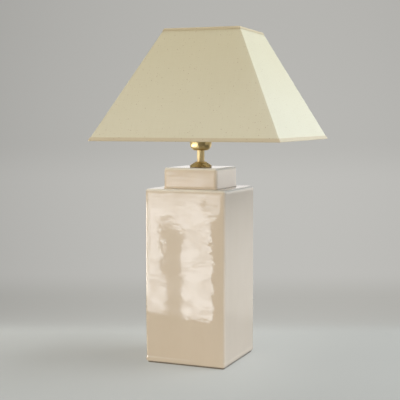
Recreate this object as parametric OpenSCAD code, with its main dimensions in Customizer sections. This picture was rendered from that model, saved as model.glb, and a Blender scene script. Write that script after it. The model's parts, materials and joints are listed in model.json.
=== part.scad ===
// Square ceramic table lamp: glazed body, brass stem and lampholder, pyramid cloth shade.
// Millimetres, +Z up. The origin is under the middle of the base, on the surface it stands on.
// The front of the lamp faces -Y.

/* [Ceramic body] */
// Width of the square body
body_w = 155; // [130:1:200]
// Height of the body from its foot to its shoulder
body_h = 314.5; // [200:0.5:400]
// Width of the square neck
neck_w = 104; // [70:1:115]
// Height of the neck above the shoulder
neck_h = 37.5; // [20:0.5:80]
// Radius of the outer edges
edge_r = 5.5; // [2:0.5:7]
// Thickness of the cast walls and of the roof
wall = 8; // [5:0.5:12]
// Thickness of the cast floor
floor_t = 8; // [6:0.5:14]
// Width of the foot rim round the hollow under the floor
foot_w = 11; // [9:0.5:20]

/* [Felt and cord inlet] */
// Thickness of the felt pad
felt_t = 2; // [1:0.5:4]
// How far the felt stays back from the body's faces
felt_inset = 3; // [1:0.5:6]
// Room between the lower end of the stem tube and the felt
foot_clear = 2; // [1:0.5:6]
// Height of the cord inlet above the inside floor
inlet_rise = 14; // [12:1:60]
// Outer diameter of the inlet's thread
inlet_d = 10; // [9:0.5:14]
// Bore of the inlet, which the cord passes through
inlet_bore = 6.5; // [5:0.5:7]
// How far the inlet's flange stands out round its thread
inlet_flange_w = 3; // [2:0.5:6]
// Thickness of the inlet's flange
inlet_flange_t = 2.5; // [1.5:0.5:4]
// Thickness of the inlet's lock nut
inlet_nut_t = 3; // [2:0.5:5]
// Metal round the thread in the inlet's lock nut
inlet_nut_rim = 2.5; // [2:0.5:4]

/* [Stem tube and its fixings] */
// Outer diameter of the threaded stem tube
tube_d = 10; // [9:0.5:12]
// Bore of the stem tube, which the wires pass through
tube_bore = 7; // [4:0.5:7]
// Length of tube below the bottom nut
tube_end = 1.2; // [0.5:0.1:4]
// Radial room between the tube and the hole in the floor
floor_hole_gap = 1; // [0.5:0.5:3]
// Metal round the thread in the bottom nut
nut_rim = 2; // [1.5:0.5:4]
// Thickness of the bottom nut
nut_t = 3.5; // [2.5:0.5:6]
// Width of the lock washer's ring
lock_w = 3.2; // [2:0.2:4]
// Thickness of the lock washer
lock_t = 0.8; // [0.5:0.1:2]
// Thickness of the earth lug
lug_t = 0.8; // [0.5:0.1:1.5]
// Length of the earth lug's tongue past its ring
lug_reach = 12; // [8:1:20]
// Width of the steel washer's ring
washer_w = 10; // [6:0.5:16]
// Thickness of the steel washer
washer_t = 1.5; // [1:0.5:3]
// Width of the rubber washer's ring
rubber_w = 12; // [6:0.5:18]
// Thickness of the rubber washer
rubber_t = 2; // [1:0.5:4]

/* [Brass neck fittings] */
// Radial room between the tube and the hole in the roof
roof_hole_gap = 3; // [2:0.5:5]
// Width of the centring bush's flange past the roof hole
bush_flange_w = 3; // [2:0.5:5]
// Thickness of the centring bush's flange
bush_flange_t = 1; // [0.5:0.1:2]
// Width of the gasket past the roof hole
gasket_w = 5; // [3:0.5:6]
// Thickness of the gasket
gasket_t = 1.5; // [0.5:0.1:2.5]
// Diameter of the vase cap
vase_cap_d = 41; // [38:0.5:60]
// Height of the vase cap
vase_cap_h = 10; // [8:0.5:20]
// Height of the vase cap's rounded rim
vase_rim_h = 3.5; // [2:0.5:5]
// Number of turned steps on the vase cap
vase_steps = 3; // [1:1:5]
// Outer diameter of the neck tube
sleeve_d = 13.5; // [12.5:0.5:16]
// Length of the neck tube between the vase cap and the lampholder
sleeve_h = 20.5; // [10:0.5:60]

/* [Lampholder] */
// Outer diameter of the brass cup
cup_d = 40; // [39:0.5:46]
// Height of the brass cup
cup_h = 27; // [24:0.5:34]
// Height of the cup's rounded shoulder
shoulder_h = 12.7; // [8:0.1:14]
// Width of the cup's rounded shoulder
shoulder_w = 10; // [4:0.5:11]
// Wall of the cup
cup_wall = 1.2; // [0.8:0.1:1.5]
// Height of the threaded boss inside the cup
boss_h = 10; // [8:0.5:12]
// Wall of the threaded boss
boss_wall = 3; // [2:0.5:4]
// Diameter of the grub screw that locks the tube
grub_d = 3; // [2:0.5:4]
// Diameter of the porcelain insert
insert_d = 34; // [31:0.5:34]
// Height of the porcelain insert up to the contact floor
insert_h = 14; // [12:0.5:16]
// Height of the porcelain collar round the screw shell
collar_h = 6; // [3:0.5:8]
// Inner diameter of the screw shell
shell_bore = 27.2; // [27:0.1:28]
// Wall of the screw shell
shell_wall = 0.5; // [0.4:0.1:0.8]
// Length of the screw shell
shell_h = 32; // [26:0.5:35]
// Height of the centre contact above the contact floor
contact_rise = 4.7; // [3.5:0.1:6]
// Thickness of the contact strips
contact_t = 0.6; // [0.4:0.1:0.8]
// Width of the contact strips
contact_w = 5; // [3:0.5:6]
// Thread diameter of the terminal screws
terminal_d = 3; // [2.5:0.5:3.5]
// Height of the threaded skirt above the cup
skirt_h = 34; // [30:0.5:44]
// How far the skirt screws down into the cup
skirt_lap = 6; // [4:0.5:8]
// Step from the cup's face in to the skirt's thread
skirt_step = 0.3; // [0.1:0.1:0.8]
// Wall of the skirt
skirt_wall = 1.3; // [1:0.1:1.5]
// Width of the lip round the skirt's mouth
skirt_lip = 2.5; // [0.5:0.5:3]

/* [Shade rings] */
// Height of the lower shade ring above the cup
ring_rise = 11; // [2:0.5:16]
// Height of each shade ring
ring_h = 5.7; // [4:0.1:8]
// Diameter of each shade ring's flange
ring_flange_d = 50; // [48:0.5:54]
// Thickness of each shade ring's flange
ring_flange_t = 1.5; // [1:0.1:2.5]
// Wall of each shade ring's threaded hub
ring_wall = 1.3; // [1:0.1:2]
// Number of finger notches round each shade ring
ring_notches = 12; // [6:1:24]

/* [Bulb] */
// Diameter of the bulb's glass
bulb_d = 35; // [30:0.5:36]
// Length of the bulb's glass above its cap
bulb_glass_h = 72; // [50:1:90]
// Thickness of the bulb's glass
glass_t = 0.8; // [0.6:0.1:1.2]
// Diameter of the bulb's screw cap
bulb_cap_d = 26; // [25:0.1:26]
// Length of the bulb's screw cap
bulb_cap_h = 22; // [18:0.5:26]
// Height of the black insulator under the cap
insulator_h = 5; // [3:0.5:6]
// Diameter of the solder tip
tip_d = 9.5; // [8:0.5:11]
// Height of the solder tip
tip_h = 2; // [1:0.1:3]
// Length of the light filaments
filament_h = 30; // [20:1:40]
// Step from the screw cap in to the neck of the glass
bulb_neck_step = 0.8; // [0.6:0.1:1.5]
// Step from the screw cap in to the insulator
insulator_step = 2; // [1.5:0.1:3]
// Share of the glass's height that lies below its widest place
belly = 0.38; // [0.25:0.01:0.5]

/* [Shade] */
// Width of the square shade at its lower edge
shade_w = 344; // [260:1:420]
// Width of the square shade at its upper edge
shade_top_w = 140.6; // [110:0.1:240]
// Height of the shade
shade_h = 199.4; // [150:0.1:260]
// Thickness of the stiffened cloth
panel_t = 1; // [0.6:0.1:2]
// Height of the rolled hems
hem_h = 5; // [4.5:0.1:8]
// Thickness of the hem tape
hem_t = 0.5; // [0.3:0.1:1]
// Diameter of the frame wire
wire_d = 3; // [2:0.1:3.4]
// Radius of the bends at the frame's corners, at the middle of the wire
wire_bend = 3; // [1.8:0.1:5]
// Bore of the fitter ring
fitter_bore = 42; // [41.2:0.1:44]
// Width of the fitter ring's band
fitter_w = 7; // [5:0.5:12]
// Thickness of the fitter ring
fitter_t = 1.5; // [1:0.1:2.5]
// Height of the fitter ring above the shade's lower edge
fitter_drop = 24.4; // [10:0.1:60]
// How far the shade hangs off the stem to the right
shade_shift_x = 29.6; // [-40:0.1:40]
// How far the shade hangs off the stem to the back
shade_shift_y = -5.7; // [-40:0.1:40]
// Turn of the shade about the vertical
shade_twist = 2.3; // [-10:0.1:10]

/* [Clearances] */
// Radial room in a thread that is drawn plain
thread_gap = 0.1; // [0.05:0.05:0.2]
// Radial room of a piece that drops into a hole
fit_gap = 0.3; // [0.2:0.05:0.4]
// Room between pieces that move past each other
run_gap = 0.3; // [0.2:0.05:0.5]
// Room between layers that are glued, wrapped or welded together
lap_gap = 0.05; // [0.02:0.01:0.1]

/* [Hidden] */
$fn = 64;

brass = "#b08f4c";
glaze = "#cbb9a1";
cloth = "#c6bf9e";
hem_cloth = "#b5ab8f";
steel = "#9c9fa3";

// Cuts run this far past the faces that they open
past = 1;

// Radii that several pieces share
tube_r = tube_d / 2;
thread_r = tube_r + thread_gap;
roof_hole_r = tube_r + roof_hole_gap;
inlet_r = inlet_d / 2;
cup_r = cup_d / 2;
cup_bore_r = cup_r - cup_wall;
skirt_r = cup_r - skirt_step;
skirt_bore_r = skirt_r - skirt_wall;
shell_r = shell_bore / 2 + shell_wall;
wire_r = wire_d / 2;
fitter_r = fitter_bore / 2 + fitter_w;

// Heights, from the surface up through the stack that the stem tube clamps
foot_h = rubber_t + washer_t + lug_t + lock_t + nut_t + tube_end + foot_clear;
floor_under_z = felt_t + foot_h;
floor_z = floor_under_z + floor_t;
shoulder_z = felt_t + body_h;
neck_z = shoulder_z + neck_h;
inlet_z = floor_z + inlet_rise;
washer_z = floor_under_z - rubber_t - washer_t;
lug_z = washer_z - lug_t;
lock_z = lug_z - lock_t;
nut_z = lock_z - nut_t;
tube_z = nut_z - tube_end;
sleeve_z = neck_z + vase_cap_h;
cup_z = sleeve_z + sleeve_h;
boss_z = cup_z + boss_h;
cup_top_z = cup_z + cup_h;
contact_floor_z = boss_z + insert_h;
skirt_top_z = cup_top_z + skirt_h;
ring_z = cup_top_z + ring_rise;
ring_top_z = ring_z + ring_h;
fitter_z = ring_top_z + run_gap;
upper_ring_z = fitter_z + fitter_t + run_gap;
shade_z = fitter_z - fitter_drop;

// The terminal screws lie this far in from the insert's side and below its contact floor
terminal_in = 7;
terminal_down = 6;

// The bulb, from its solder tip up
tip_z = contact_floor_z + contact_rise + run_gap;
insulator_z = tip_z + tip_h;
bulb_cap_z = insulator_z + insulator_h + run_gap;
bulb_neck_z = bulb_cap_z + bulb_cap_h;
glass_mount_z = bulb_neck_z - 7;
glass_mount_h = 20;
bulb_neck_r = bulb_cap_d / 2 - bulb_neck_step;
insulator_r = bulb_cap_d / 2 - insulator_step;

// The pyramid: how much it narrows per millimetre of height, and its slant
slope = (shade_w - shade_top_w) / 2 / shade_h;
slant = sqrt(1 + slope * slope);

// Half width of the shade at a height, measured a distance out from the cloth's outer face
function half_at(z, out = 0) = shade_w / 2 - slope * z + out * slant;

// Frame wire centres, tucked inside the hems
wire_in = panel_t + lap_gap + wire_r;
wire_low_z = hem_t + lap_gap + wire_r;
wire_high_z = shade_h - wire_low_z;
bend_in = wire_bend * (1 - cos(45));
bend_room = (wire_bend - wire_r) * (1 - cos(45)) + fit_gap;
hem_in = panel_t + lap_gap + wire_d + bend_room;

// The stem axis as seen from the middle of the shade
stem_x = -shade_shift_x * cos(shade_twist) - shade_shift_y * sin(shade_twist);
stem_y = shade_shift_x * sin(shade_twist) - shade_shift_y * cos(shade_twist);

// Points along an elliptical arc
function arc(cx, cy, rx, ry, from, to, steps) =
    [for (i = [0 : steps])
        let (a = from + (to - from) * i / steps)
        [cx + rx * cos(a), cy + ry * sin(a)]];

module ring(r_out, r_in, h) {
    difference() {
        cylinder(r = r_out, h = h);
        translate([0, 0, -past]) cylinder(r = r_in, h = h + 2 * past);
    }
}

module hex_nut(across_flats, r_in, h) {
    difference() {
        cylinder(d = across_flats / cos(30), h = h, $fn = 6);
        translate([0, 0, -past]) cylinder(r = r_in, h = h + 2 * past);
    }
}

// A round bar between two points
module rod(p, q, r) {
    d = q - p;
    len = norm(d);
    translate(p)
        rotate([0, acos(d[2] / len), atan2(d[1], d[0])])
            cylinder(r = r, h = len);
}

// A square block with all its edges rounded, standing on z = 0
module rounded_block(w, h, r) {
    a = w / 2 - r;
    translate([-a, -a, 0]) cube([2 * a, 2 * a, h]);
    translate([-w / 2, -a, r]) cube([w, 2 * a, h - 2 * r]);
    translate([-a, -w / 2, r]) cube([2 * a, w, h - 2 * r]);
    for (x = [-a, a], y = [-a, a]) {
        translate([x, y, r]) cylinder(r = r, h = h - 2 * r);
        for (z = [r, h - r]) translate([x, y, z]) sphere(r = r);
    }
    for (s = [-a, a], z = [r, h - r]) {
        rod([-a, s, z], [a, s, z], r);
        rod([s, -a, z], [s, a, z], r);
    }
}

// A square room inside the casting
module cast_room(w, z_low, z_high) {
    translate([-w / 2, -w / 2, z_low]) cube([w, w, z_high - z_low]);
}

module base_felt() {
    w = body_w - 2 * felt_inset;
    color("#5b5348")
        translate([-w / 2, -w / 2, 0])
            cube([w, w, felt_t]);
}

// One casting: body, shoulder, neck, floor and foot rim
module ceramic_body() {
    root = 3 * edge_r;
    color(glaze)
        difference() {
            union() {
                translate([0, 0, felt_t]) rounded_block(body_w, body_h, edge_r);
                translate([0, 0, shoulder_z - root])
                    rounded_block(neck_w, neck_h + root, edge_r);
            }
            cast_room(body_w - 2 * foot_w, felt_t - past, floor_under_z);
            cast_room(body_w - 2 * wall, floor_z, shoulder_z - wall);
            cast_room(neck_w - 2 * wall, floor_z, neck_z - wall);
            translate([0, 0, floor_under_z - past])
                cylinder(r = tube_r + floor_hole_gap, h = floor_t + 2 * past);
            translate([0, 0, neck_z - wall - past])
                cylinder(r = roof_hole_r, h = wall + 2 * past);
            translate([0, body_w / 2 + past, inlet_z])
                rotate([90, 0, 0])
                    cylinder(r = inlet_r + fit_gap, h = wall + 2 * past);
        }
}

// Flanged bush that lines the cord hole in the back wall
module cord_bushing() {
    past_nut = 1;
    length = inlet_flange_t + wall + inlet_nut_t + past_nut;
    color("#3a3632")
        translate([0, body_w / 2 + inlet_flange_t, inlet_z])
            rotate([90, 0, 0])
                difference() {
                    union() {
                        cylinder(r = inlet_r + inlet_flange_w, h = inlet_flange_t);
                        cylinder(r = inlet_r, h = length);
                    }
                    translate([0, 0, -past])
                        cylinder(d = inlet_bore, h = length + 2 * past);
                }
}

module cord_bushing_nut() {
    color("#3a3632")
        translate([0, body_w / 2 - wall, inlet_z])
            rotate([90, 0, 0])
                hex_nut(inlet_d + 2 * inlet_nut_rim, inlet_r + thread_gap, inlet_nut_t);
}

// Threaded tube that clamps everything from the floor to the lampholder
module threaded_tube() {
    below_boss_top = 1;
    top_z = boss_z - below_boss_top;
    color(steel)
        translate([0, 0, tube_z])
            ring(tube_r, tube_bore / 2, top_z - tube_z);
}

module bottom_nut() {
    color(steel)
        translate([0, 0, nut_z])
            hex_nut(tube_d + 2 * nut_rim, thread_r, nut_t);
}

// Spring washer, split at one side
module bottom_lock_washer() {
    split_w = 1.5;
    color(steel)
        translate([0, 0, lock_z])
            difference() {
                ring(thread_r + lock_w, thread_r, lock_t);
                translate([0, -split_w / 2, -past])
                    cube([thread_r + lock_w + past, split_w, lock_t + 2 * past]);
            }
}

// Flat tag on the tube for the earth wire
module earth_lug() {
    ring_w = 3.5;
    lug_r = thread_r + ring_w;
    tongue_w = 6;
    wire_hole_r = 1.8;
    color(brass)
        translate([0, 0, lug_z])
            linear_extrude(lug_t)
                difference() {
                    union() {
                        circle(r = lug_r);
                        translate([-tongue_w / 2, 0]) square([tongue_w, lug_r + lug_reach]);
                    }
                    circle(r = thread_r);
                    translate([0, lug_r + lug_reach - tongue_w / 2]) circle(r = wire_hole_r);
                }
}

module bottom_washer() {
    color(steel)
        translate([0, 0, washer_z])
            ring(thread_r + washer_w, thread_r, washer_t);
}

module bottom_rubber_washer() {
    color("#2b2b2b")
        translate([0, 0, floor_under_z - rubber_t])
            ring(thread_r + rubber_w, thread_r, rubber_t);
}

// Plastic bush that keeps the tube in the middle of the roof hole
module neck_bush() {
    above_roof_face = 1;
    color("#d9d4c8")
        difference() {
            union() {
                translate([0, 0, neck_z - wall + above_roof_face])
                    cylinder(r = roof_hole_r - fit_gap, h = wall - above_roof_face + bush_flange_t);
                translate([0, 0, neck_z])
                    cylinder(r = roof_hole_r + bush_flange_w, h = bush_flange_t);
            }
            translate([0, 0, neck_z - wall])
                cylinder(r = thread_r + thread_gap, h = wall + bush_flange_t + past);
        }
}

module top_gasket() {
    color("#2b2b2b")
        translate([0, 0, neck_z + bush_flange_t])
            ring(roof_hole_r + gasket_w, thread_r, gasket_t);
}

// Turned cap with a rounded rim, rising in steps to the neck tube
module vase_cap() {
    rim_r = vase_rim_h / 2;
    rim_groove = 0.6;
    gasket_room = 1;
    sleeve_ledge = 1.4;
    hollow_r = roof_hole_r + gasket_w + gasket_room;
    hollow_h = bush_flange_t + gasket_t;
    low_r = vase_cap_d / 2 - rim_r - rim_groove;
    top_r = sleeve_d / 2 + sleeve_ledge;
    run = (low_r - top_r) / vase_steps;
    rise = (vase_cap_h - vase_rim_h) / vase_steps;
    // Each step stands up, then slopes in: shares of its run and rise
    step_in = [0, 0, 0.7];
    step_up = [0, 0.45, 1];
    color(brass)
        translate([0, 0, neck_z])
            rotate_extrude()
                polygon(concat(
                    [[thread_r, hollow_h], [hollow_r, hollow_h], [hollow_r, 0]],
                    arc(vase_cap_d / 2 - rim_r, rim_r, rim_r, rim_r, -90, 90, 8),
                    [for (i = [0 : vase_steps - 1], k = [0 : 2])
                        [low_r - run * (i + step_in[k]), vase_rim_h + rise * (i + step_up[k])]],
                    [[top_r, vase_cap_h], [thread_r, vase_cap_h]]
                ));
}

module neck_tube() {
    color(brass)
        translate([0, 0, sleeve_z])
            ring(sleeve_d / 2, thread_r, sleeve_h);
}

// Spun brass cup with a threaded boss inside
module holder_cap() {
    c = cup_r - shoulder_w;
    boss_r = thread_r + boss_wall;
    color(brass)
        translate([0, 0, cup_z])
            difference() {
                rotate_extrude()
                    polygon(concat(
                        [[thread_r, 0]],
                        arc(c, shoulder_h, shoulder_w, shoulder_h, -90, 0, 10),
                        [[cup_r, cup_h], [cup_bore_r, cup_h]],
                        arc(c, shoulder_h, shoulder_w - cup_wall, shoulder_h - cup_wall, 0, -90, 10),
                        [[boss_r, cup_wall], [boss_r, boss_h], [thread_r, boss_h]]
                    ));
                translate([0, 0, boss_h / 2 + cup_wall / 2])
                    rotate([0, 90, 0])
                        cylinder(d = grub_d + 2 * thread_gap, h = boss_r + past);
            }
}

module holder_grub_screw() {
    slot = 0.6;
    slot_depth = 0.8;
    proud = 0.5;
    head_x = thread_r + boss_wall + proud;
    color(steel)
        translate([0, 0, cup_z + boss_h / 2 + cup_wall / 2])
            difference() {
                rod([tube_r + thread_gap, 0, 0], [head_x, 0, 0], grub_d / 2);
                translate([head_x - slot_depth, -grub_d, -slot / 2]) cube([past, 2 * grub_d, slot]);
            }
}

// The two terminal screws lie crosswise in the porcelain
module at_terminals() {
    for (side = [0, 180])
        rotate(side)
            translate([insert_d / 2 - terminal_in, 0, contact_floor_z - terminal_down])
                rotate([0, 90, 0])
                    children();
}

// Porcelain body that carries the shell, the contacts and the terminals
module holder_insert() {
    foot_r = thread_r + boss_wall + 1;
    foot_step = 3;
    r = insert_d / 2;
    lead_hole_r = 1.6;
    lead_y = foot_r + 1.5;
    bay = 4.2;
    bay_wall = 0.8;
    color("#e9e6de")
        difference() {
            union() {
                translate([0, 0, boss_z]) cylinder(r = foot_r, h = insert_h);
                translate([0, 0, boss_z + foot_step])
                    cylinder(r = r, h = insert_h - foot_step + collar_h);
            }
            translate([0, 0, contact_floor_z])
                cylinder(r = shell_r + fit_gap, h = collar_h + past);
            at_terminals() {
                cylinder(d = terminal_d + 2 * thread_gap, h = terminal_in + past);
                translate([0, 0, terminal_in - bay]) cylinder(r = bay, h = bay + past);
            }
            for (y = [-lead_y, lead_y])
                translate([0, y, boss_z]) cylinder(r = lead_hole_r, h = insert_h + collar_h);
            translate([-contact_w / 2 - fit_gap, 0, contact_floor_z])
                cube([contact_w + 2 * fit_gap, r - bay_wall, collar_h + past]);
        }
}

module screw_shell() {
    color(brass)
        translate([0, 0, contact_floor_z])
            ring(shell_r, shell_bore / 2, shell_h);
}

// Bent spring strip that presses on the bulb's tip
module centre_contact() {
    reach = 5.5;
    foot = reach + 3;
    nose = reach - 1;
    t = contact_t;
    top = contact_rise;
    color(brass)
        translate([0, contact_w / 2, contact_floor_z])
            rotate([90, 0, 0])
                linear_extrude(contact_w)
                    polygon([
                        [-foot, 0], [reach, 0], [reach, t], [-reach, t],
                        [-reach + t, top - t], [nose, top - t], [nose, top],
                        [-reach - t, top], [-reach - t, t], [-foot, t]
                    ]);
}

// Strip that stands against the outside of the screw shell
module shell_contact() {
    color(brass)
        translate([-contact_w / 2, shell_r + lap_gap, contact_floor_z])
            cube([contact_w, contact_t, collar_h]);
}

module terminal_screws() {
    head_r = terminal_d / 2 + 1.2;
    head_t = 1.8;
    slot = 0.7;
    slot_depth = 0.8;
    seat = 2.8;
    end = 0.5;
    color(steel)
        at_terminals()
            difference() {
                union() {
                    translate([0, 0, end]) cylinder(d = terminal_d, h = seat - end);
                    translate([0, 0, seat]) cylinder(r = head_r, h = head_t);
                }
                translate([-head_r, -slot / 2, seat + head_t - slot_depth])
                    cube([2 * head_r, slot, past]);
            }
}

// Brass skirt with the outside thread for the shade rings
module holder_skirt() {
    lap_r = cup_bore_r - fit_gap;
    lap_bore_r = lap_r - skirt_wall;
    lip_z = skirt_top_z - 1.2;
    step_z = cup_top_z + 2;
    color(brass)
        rotate_extrude()
            polygon([
                [lap_bore_r, cup_top_z - skirt_lap], [lap_r, cup_top_z - skirt_lap],
                [lap_r, cup_top_z], [skirt_r, cup_top_z],
                [skirt_r, skirt_top_z], [skirt_bore_r - skirt_lip, skirt_top_z],
                [skirt_bore_r - skirt_lip, lip_z], [skirt_bore_r, lip_z],
                [skirt_bore_r, step_z], [lap_bore_r, step_z]
            ]);
}

// A threaded ring with a notched flange at its foot, standing on z = 0
module shade_ring(r_in) {
    flange_r = ring_flange_d / 2;
    notch_r = 1.2;
    color(brass)
        difference() {
            union() {
                ring(r_in + ring_wall, r_in, ring_h);
                ring(flange_r, r_in, ring_flange_t);
            }
            for (i = [0 : ring_notches - 1])
                rotate(i * 360 / ring_notches)
                    translate([flange_r + notch_r / 3, 0, -past])
                        cylinder(r = notch_r, h = ring_flange_t + 2 * past);
        }
}

module lower_shade_ring() {
    translate([0, 0, ring_top_z]) mirror([0, 0, 1]) shade_ring(skirt_r + thread_gap);
}

module upper_shade_ring() {
    translate([0, 0, upper_ring_z]) shade_ring(skirt_r + run_gap);
}

module bulb_tip() {
    taper = 2;
    color("#b9bcc0")
        translate([0, 0, tip_z])
            cylinder(d1 = tip_d - taper, d2 = tip_d, h = tip_h);
}

module bulb_insulator() {
    rim = 0.5;
    color("#1d1d1f")
        translate([0, 0, insulator_z])
            cylinder(r1 = tip_d / 2 + rim, r2 = insulator_r, h = insulator_h);
}

// Thin metal cap, closed at the bottom over the insulator
module bulb_cap() {
    r = bulb_cap_d / 2;
    t = 0.4;
    side_z = bulb_cap_z + 2;
    color("#c9ccd0")
        rotate_extrude()
            polygon([
                [0, bulb_cap_z], [insulator_r, bulb_cap_z], [r, side_z],
                [r, bulb_neck_z], [r - t, bulb_neck_z], [r - t, side_z + t],
                [insulator_r - t, bulb_cap_z + t], [0, bulb_cap_z + t]
            ]);
}

// Radius of the candle glass, from its neck (u = 0) to its tip (u = 1)
function candle_r(u) = u < belly
    ? bulb_neck_r + (bulb_d / 2 - bulb_neck_r) * (1 - cos(180 * u / belly)) / 2
    : bulb_d / 2 * pow(max(0, cos(90 * (u - belly) / (1 - belly))), 0.9);
function candle_side(inset, steps) =
    [for (i = [0 : steps])
        let (u = i / steps)
        [max(0, candle_r(u) - inset), bulb_neck_z + u * (bulb_glass_h - inset)]];

// Candle-shaped glass, its neck down inside the cap
module bulb_glass() {
    steps = 28;
    outer = candle_side(0, steps);
    inner = candle_side(glass_t, steps);
    neck_in = 8;
    color("#eef0ee")
        rotate_extrude()
            polygon(concat(
                [[bulb_neck_r - glass_t, bulb_neck_z - neck_in], [bulb_neck_r, bulb_neck_z - neck_in]],
                outer,
                [for (i = [steps : -1 : 0]) inner[i]]
            ));
}

// Glass mount inside the bulb
module bulb_stem() {
    base_r = bulb_neck_r - glass_t - lap_gap;
    base_h = 1.5;
    flare_r = 4;
    flare_h = 5;
    top_r = 2.6;
    top_h = glass_mount_h;
    color("#dfe6e6")
        translate([0, 0, glass_mount_z])
            rotate_extrude()
                polygon([
                    [0, 0], [base_r, 0], [base_r, base_h],
                    [flare_r, flare_h], [top_r, top_h], [0, top_h]
                ]);
}

// Four light filaments between a lower and an upper hub
module bulb_filament() {
    low_z = glass_mount_z + glass_mount_h + lap_gap;
    stick_r = 0.9;
    low_r = 5.5;
    high_r = 3.5;
    hub_t = 0.8;
    mid_z = low_z + hub_t / 2;
    color("#e6c04a") {
        translate([0, 0, low_z]) cylinder(r = low_r + stick_r, h = hub_t);
        translate([0, 0, low_z + filament_h]) cylinder(r = high_r + stick_r, h = hub_t);
        for (i = [0 : 3])
            rotate(90 * i + 45)
                rod([low_r, 0, mid_z], [high_r, 0, mid_z + filament_h], stick_r);
    }
}

// Puts its children in the shade's own frame, with z = 0 at the lower edge
module in_shade() {
    translate([shade_shift_x, shade_shift_y, shade_z])
        rotate(shade_twist)
            children();
}

// A square pyramid stump between two heights, a distance out from the cloth's face
module stump(z_low, z_high, out) {
    low = 2 * half_at(z_low, out);
    high = 2 * half_at(z_high, out);
    translate([0, 0, z_low])
        linear_extrude(height = z_high - z_low, scale = high / low)
            square(low, center = true);
}

// One flat side of stiffened cloth, mitred at its corners
module shade_panel(turn) {
    z_low = hem_t + lap_gap;
    z_high = shade_h - z_low;
    corners = [for (z = [z_low, z_high], out = [0, -panel_t], side = [-1, 1])
        let (h = half_at(z, out))
        [side * h, -h, z]];
    color(cloth)
        in_shade()
            rotate(turn)
                polyhedron(
                    points = corners,
                    faces = [[0, 1, 3, 2], [4, 6, 7, 5], [0, 4, 5, 1],
                             [2, 3, 7, 6], [0, 2, 6, 4], [1, 5, 7, 3]]
                );
}

module shade_panel_front() { shade_panel(0); }
module shade_panel_right() { shade_panel(90); }
module shade_panel_back() { shade_panel(180); }
module shade_panel_left() { shade_panel(270); }

// Hem tape folded round the panel's edge and the frame wire
module top_trim() {
    z = shade_h - hem_h;
    color(hem_cloth)
        in_shade()
            difference() {
                stump(z, shade_h, hem_t);
                stump(z - past, shade_h + past, -hem_in - hem_t);
                difference() {
                    stump(z - past, shade_h - hem_t, lap_gap);
                    stump(z - 2 * past, shade_h, -hem_in);
                }
            }
}

module bottom_trim() {
    color(hem_cloth)
        in_shade()
            difference() {
                stump(0, hem_h, hem_t);
                stump(-past, hem_h + past, -hem_in - hem_t);
                difference() {
                    stump(hem_t, hem_h + past, lap_gap);
                    stump(0, hem_h + 2 * past, -hem_in);
                }
                arm_wires(wire_r + fit_gap);
            }
}

// A square of round wire with bent corners
module wire_square(z) {
    h = half_at(z, -wire_in);
    a = h - wire_bend;
    color(steel)
        in_shade()
            for (turn = [0 : 90 : 270])
                rotate(turn) {
                    rod([-a, -h, z], [a, -h, z], wire_r);
                    translate([a, a, z])
                        rotate_extrude(angle = 90)
                            translate([wire_bend, 0]) circle(r = wire_r);
                }
}

module frame_top_ring() { wire_square(wire_high_z); }
module frame_bottom_ring() { wire_square(wire_low_z); }

// Corner wires between the two squares
module frame_ribs() {
    low = half_at(wire_low_z, -wire_in) - bend_in;
    high = half_at(wire_high_z, -wire_in) - bend_in;
    p = [low, low, wire_low_z];
    q = [high, high, wire_high_z];
    stop = (q - p) * (wire_r + fit_gap) / norm(q - p);
    color(steel)
        in_shade()
            for (turn = [0 : 90 : 270])
                rotate(turn) rod(p + stop, q - stop, wire_r);
}

// The four arms run square from the fitter ring to the sides of the bottom wire
module arm_wires(r) {
    side = half_at(wire_low_z, -wire_in);
    start_z = fitter_drop + fitter_t / 2;
    for (turn = [0 : 90 : 270]) {
        along = [cos(turn), sin(turn)];
        start = [stem_x, stem_y] + along * (fitter_r + run_gap);
        far = turn % 180 == 0 ? [along[0] * side, stem_y] : [stem_x, along[1] * side];
        p = [start[0], start[1], start_z];
        q = [far[0], far[1], wire_low_z];
        stop = (q - p) * (wire_r + lap_gap) / norm(q - p);
        rod(p, q - stop, r);
    }
}

module fitter_arms() {
    color(steel) in_shade() arm_wires(wire_r);
}

module fitter_ring() {
    color(steel)
        translate([0, 0, fitter_z])
            ring(fitter_r, fitter_bore / 2, fitter_t);
}

base_felt();
ceramic_body();
cord_bushing();
cord_bushing_nut();
threaded_tube();
bottom_nut();
bottom_lock_washer();
earth_lug();
bottom_washer();
bottom_rubber_washer();
neck_bush();
top_gasket();
vase_cap();
neck_tube();
holder_cap();
holder_grub_screw();
holder_insert();
screw_shell();
centre_contact();
shell_contact();
terminal_screws();
holder_skirt();
lower_shade_ring();
upper_shade_ring();
bulb_tip();
bulb_insulator();
bulb_cap();
bulb_glass();
bulb_stem();
bulb_filament();
shade_panel_front();
shade_panel_right();
shade_panel_back();
shade_panel_left();
top_trim();
bottom_trim();
frame_top_ring();
frame_bottom_ring();
frame_ribs();
fitter_arms();
fitter_ring();
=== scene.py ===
# %% [markdown]
# # A square ceramic table lamp
#
# The lamp has a few strong surfaces: thick glossy glaze, satin brass, unbleached cloth and white
# coated wire. Its solids are already exact, so this lesson starts from them. A part whose shape is
# right only gets a finish. A part that needs soft edges, threads or folds is modelled again in the
# same place and stands for the plain one.

# %% Load the solid parts
import json
import math
import bmesh
import bpy
from mathutils import Matrix, Vector, noise


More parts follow.
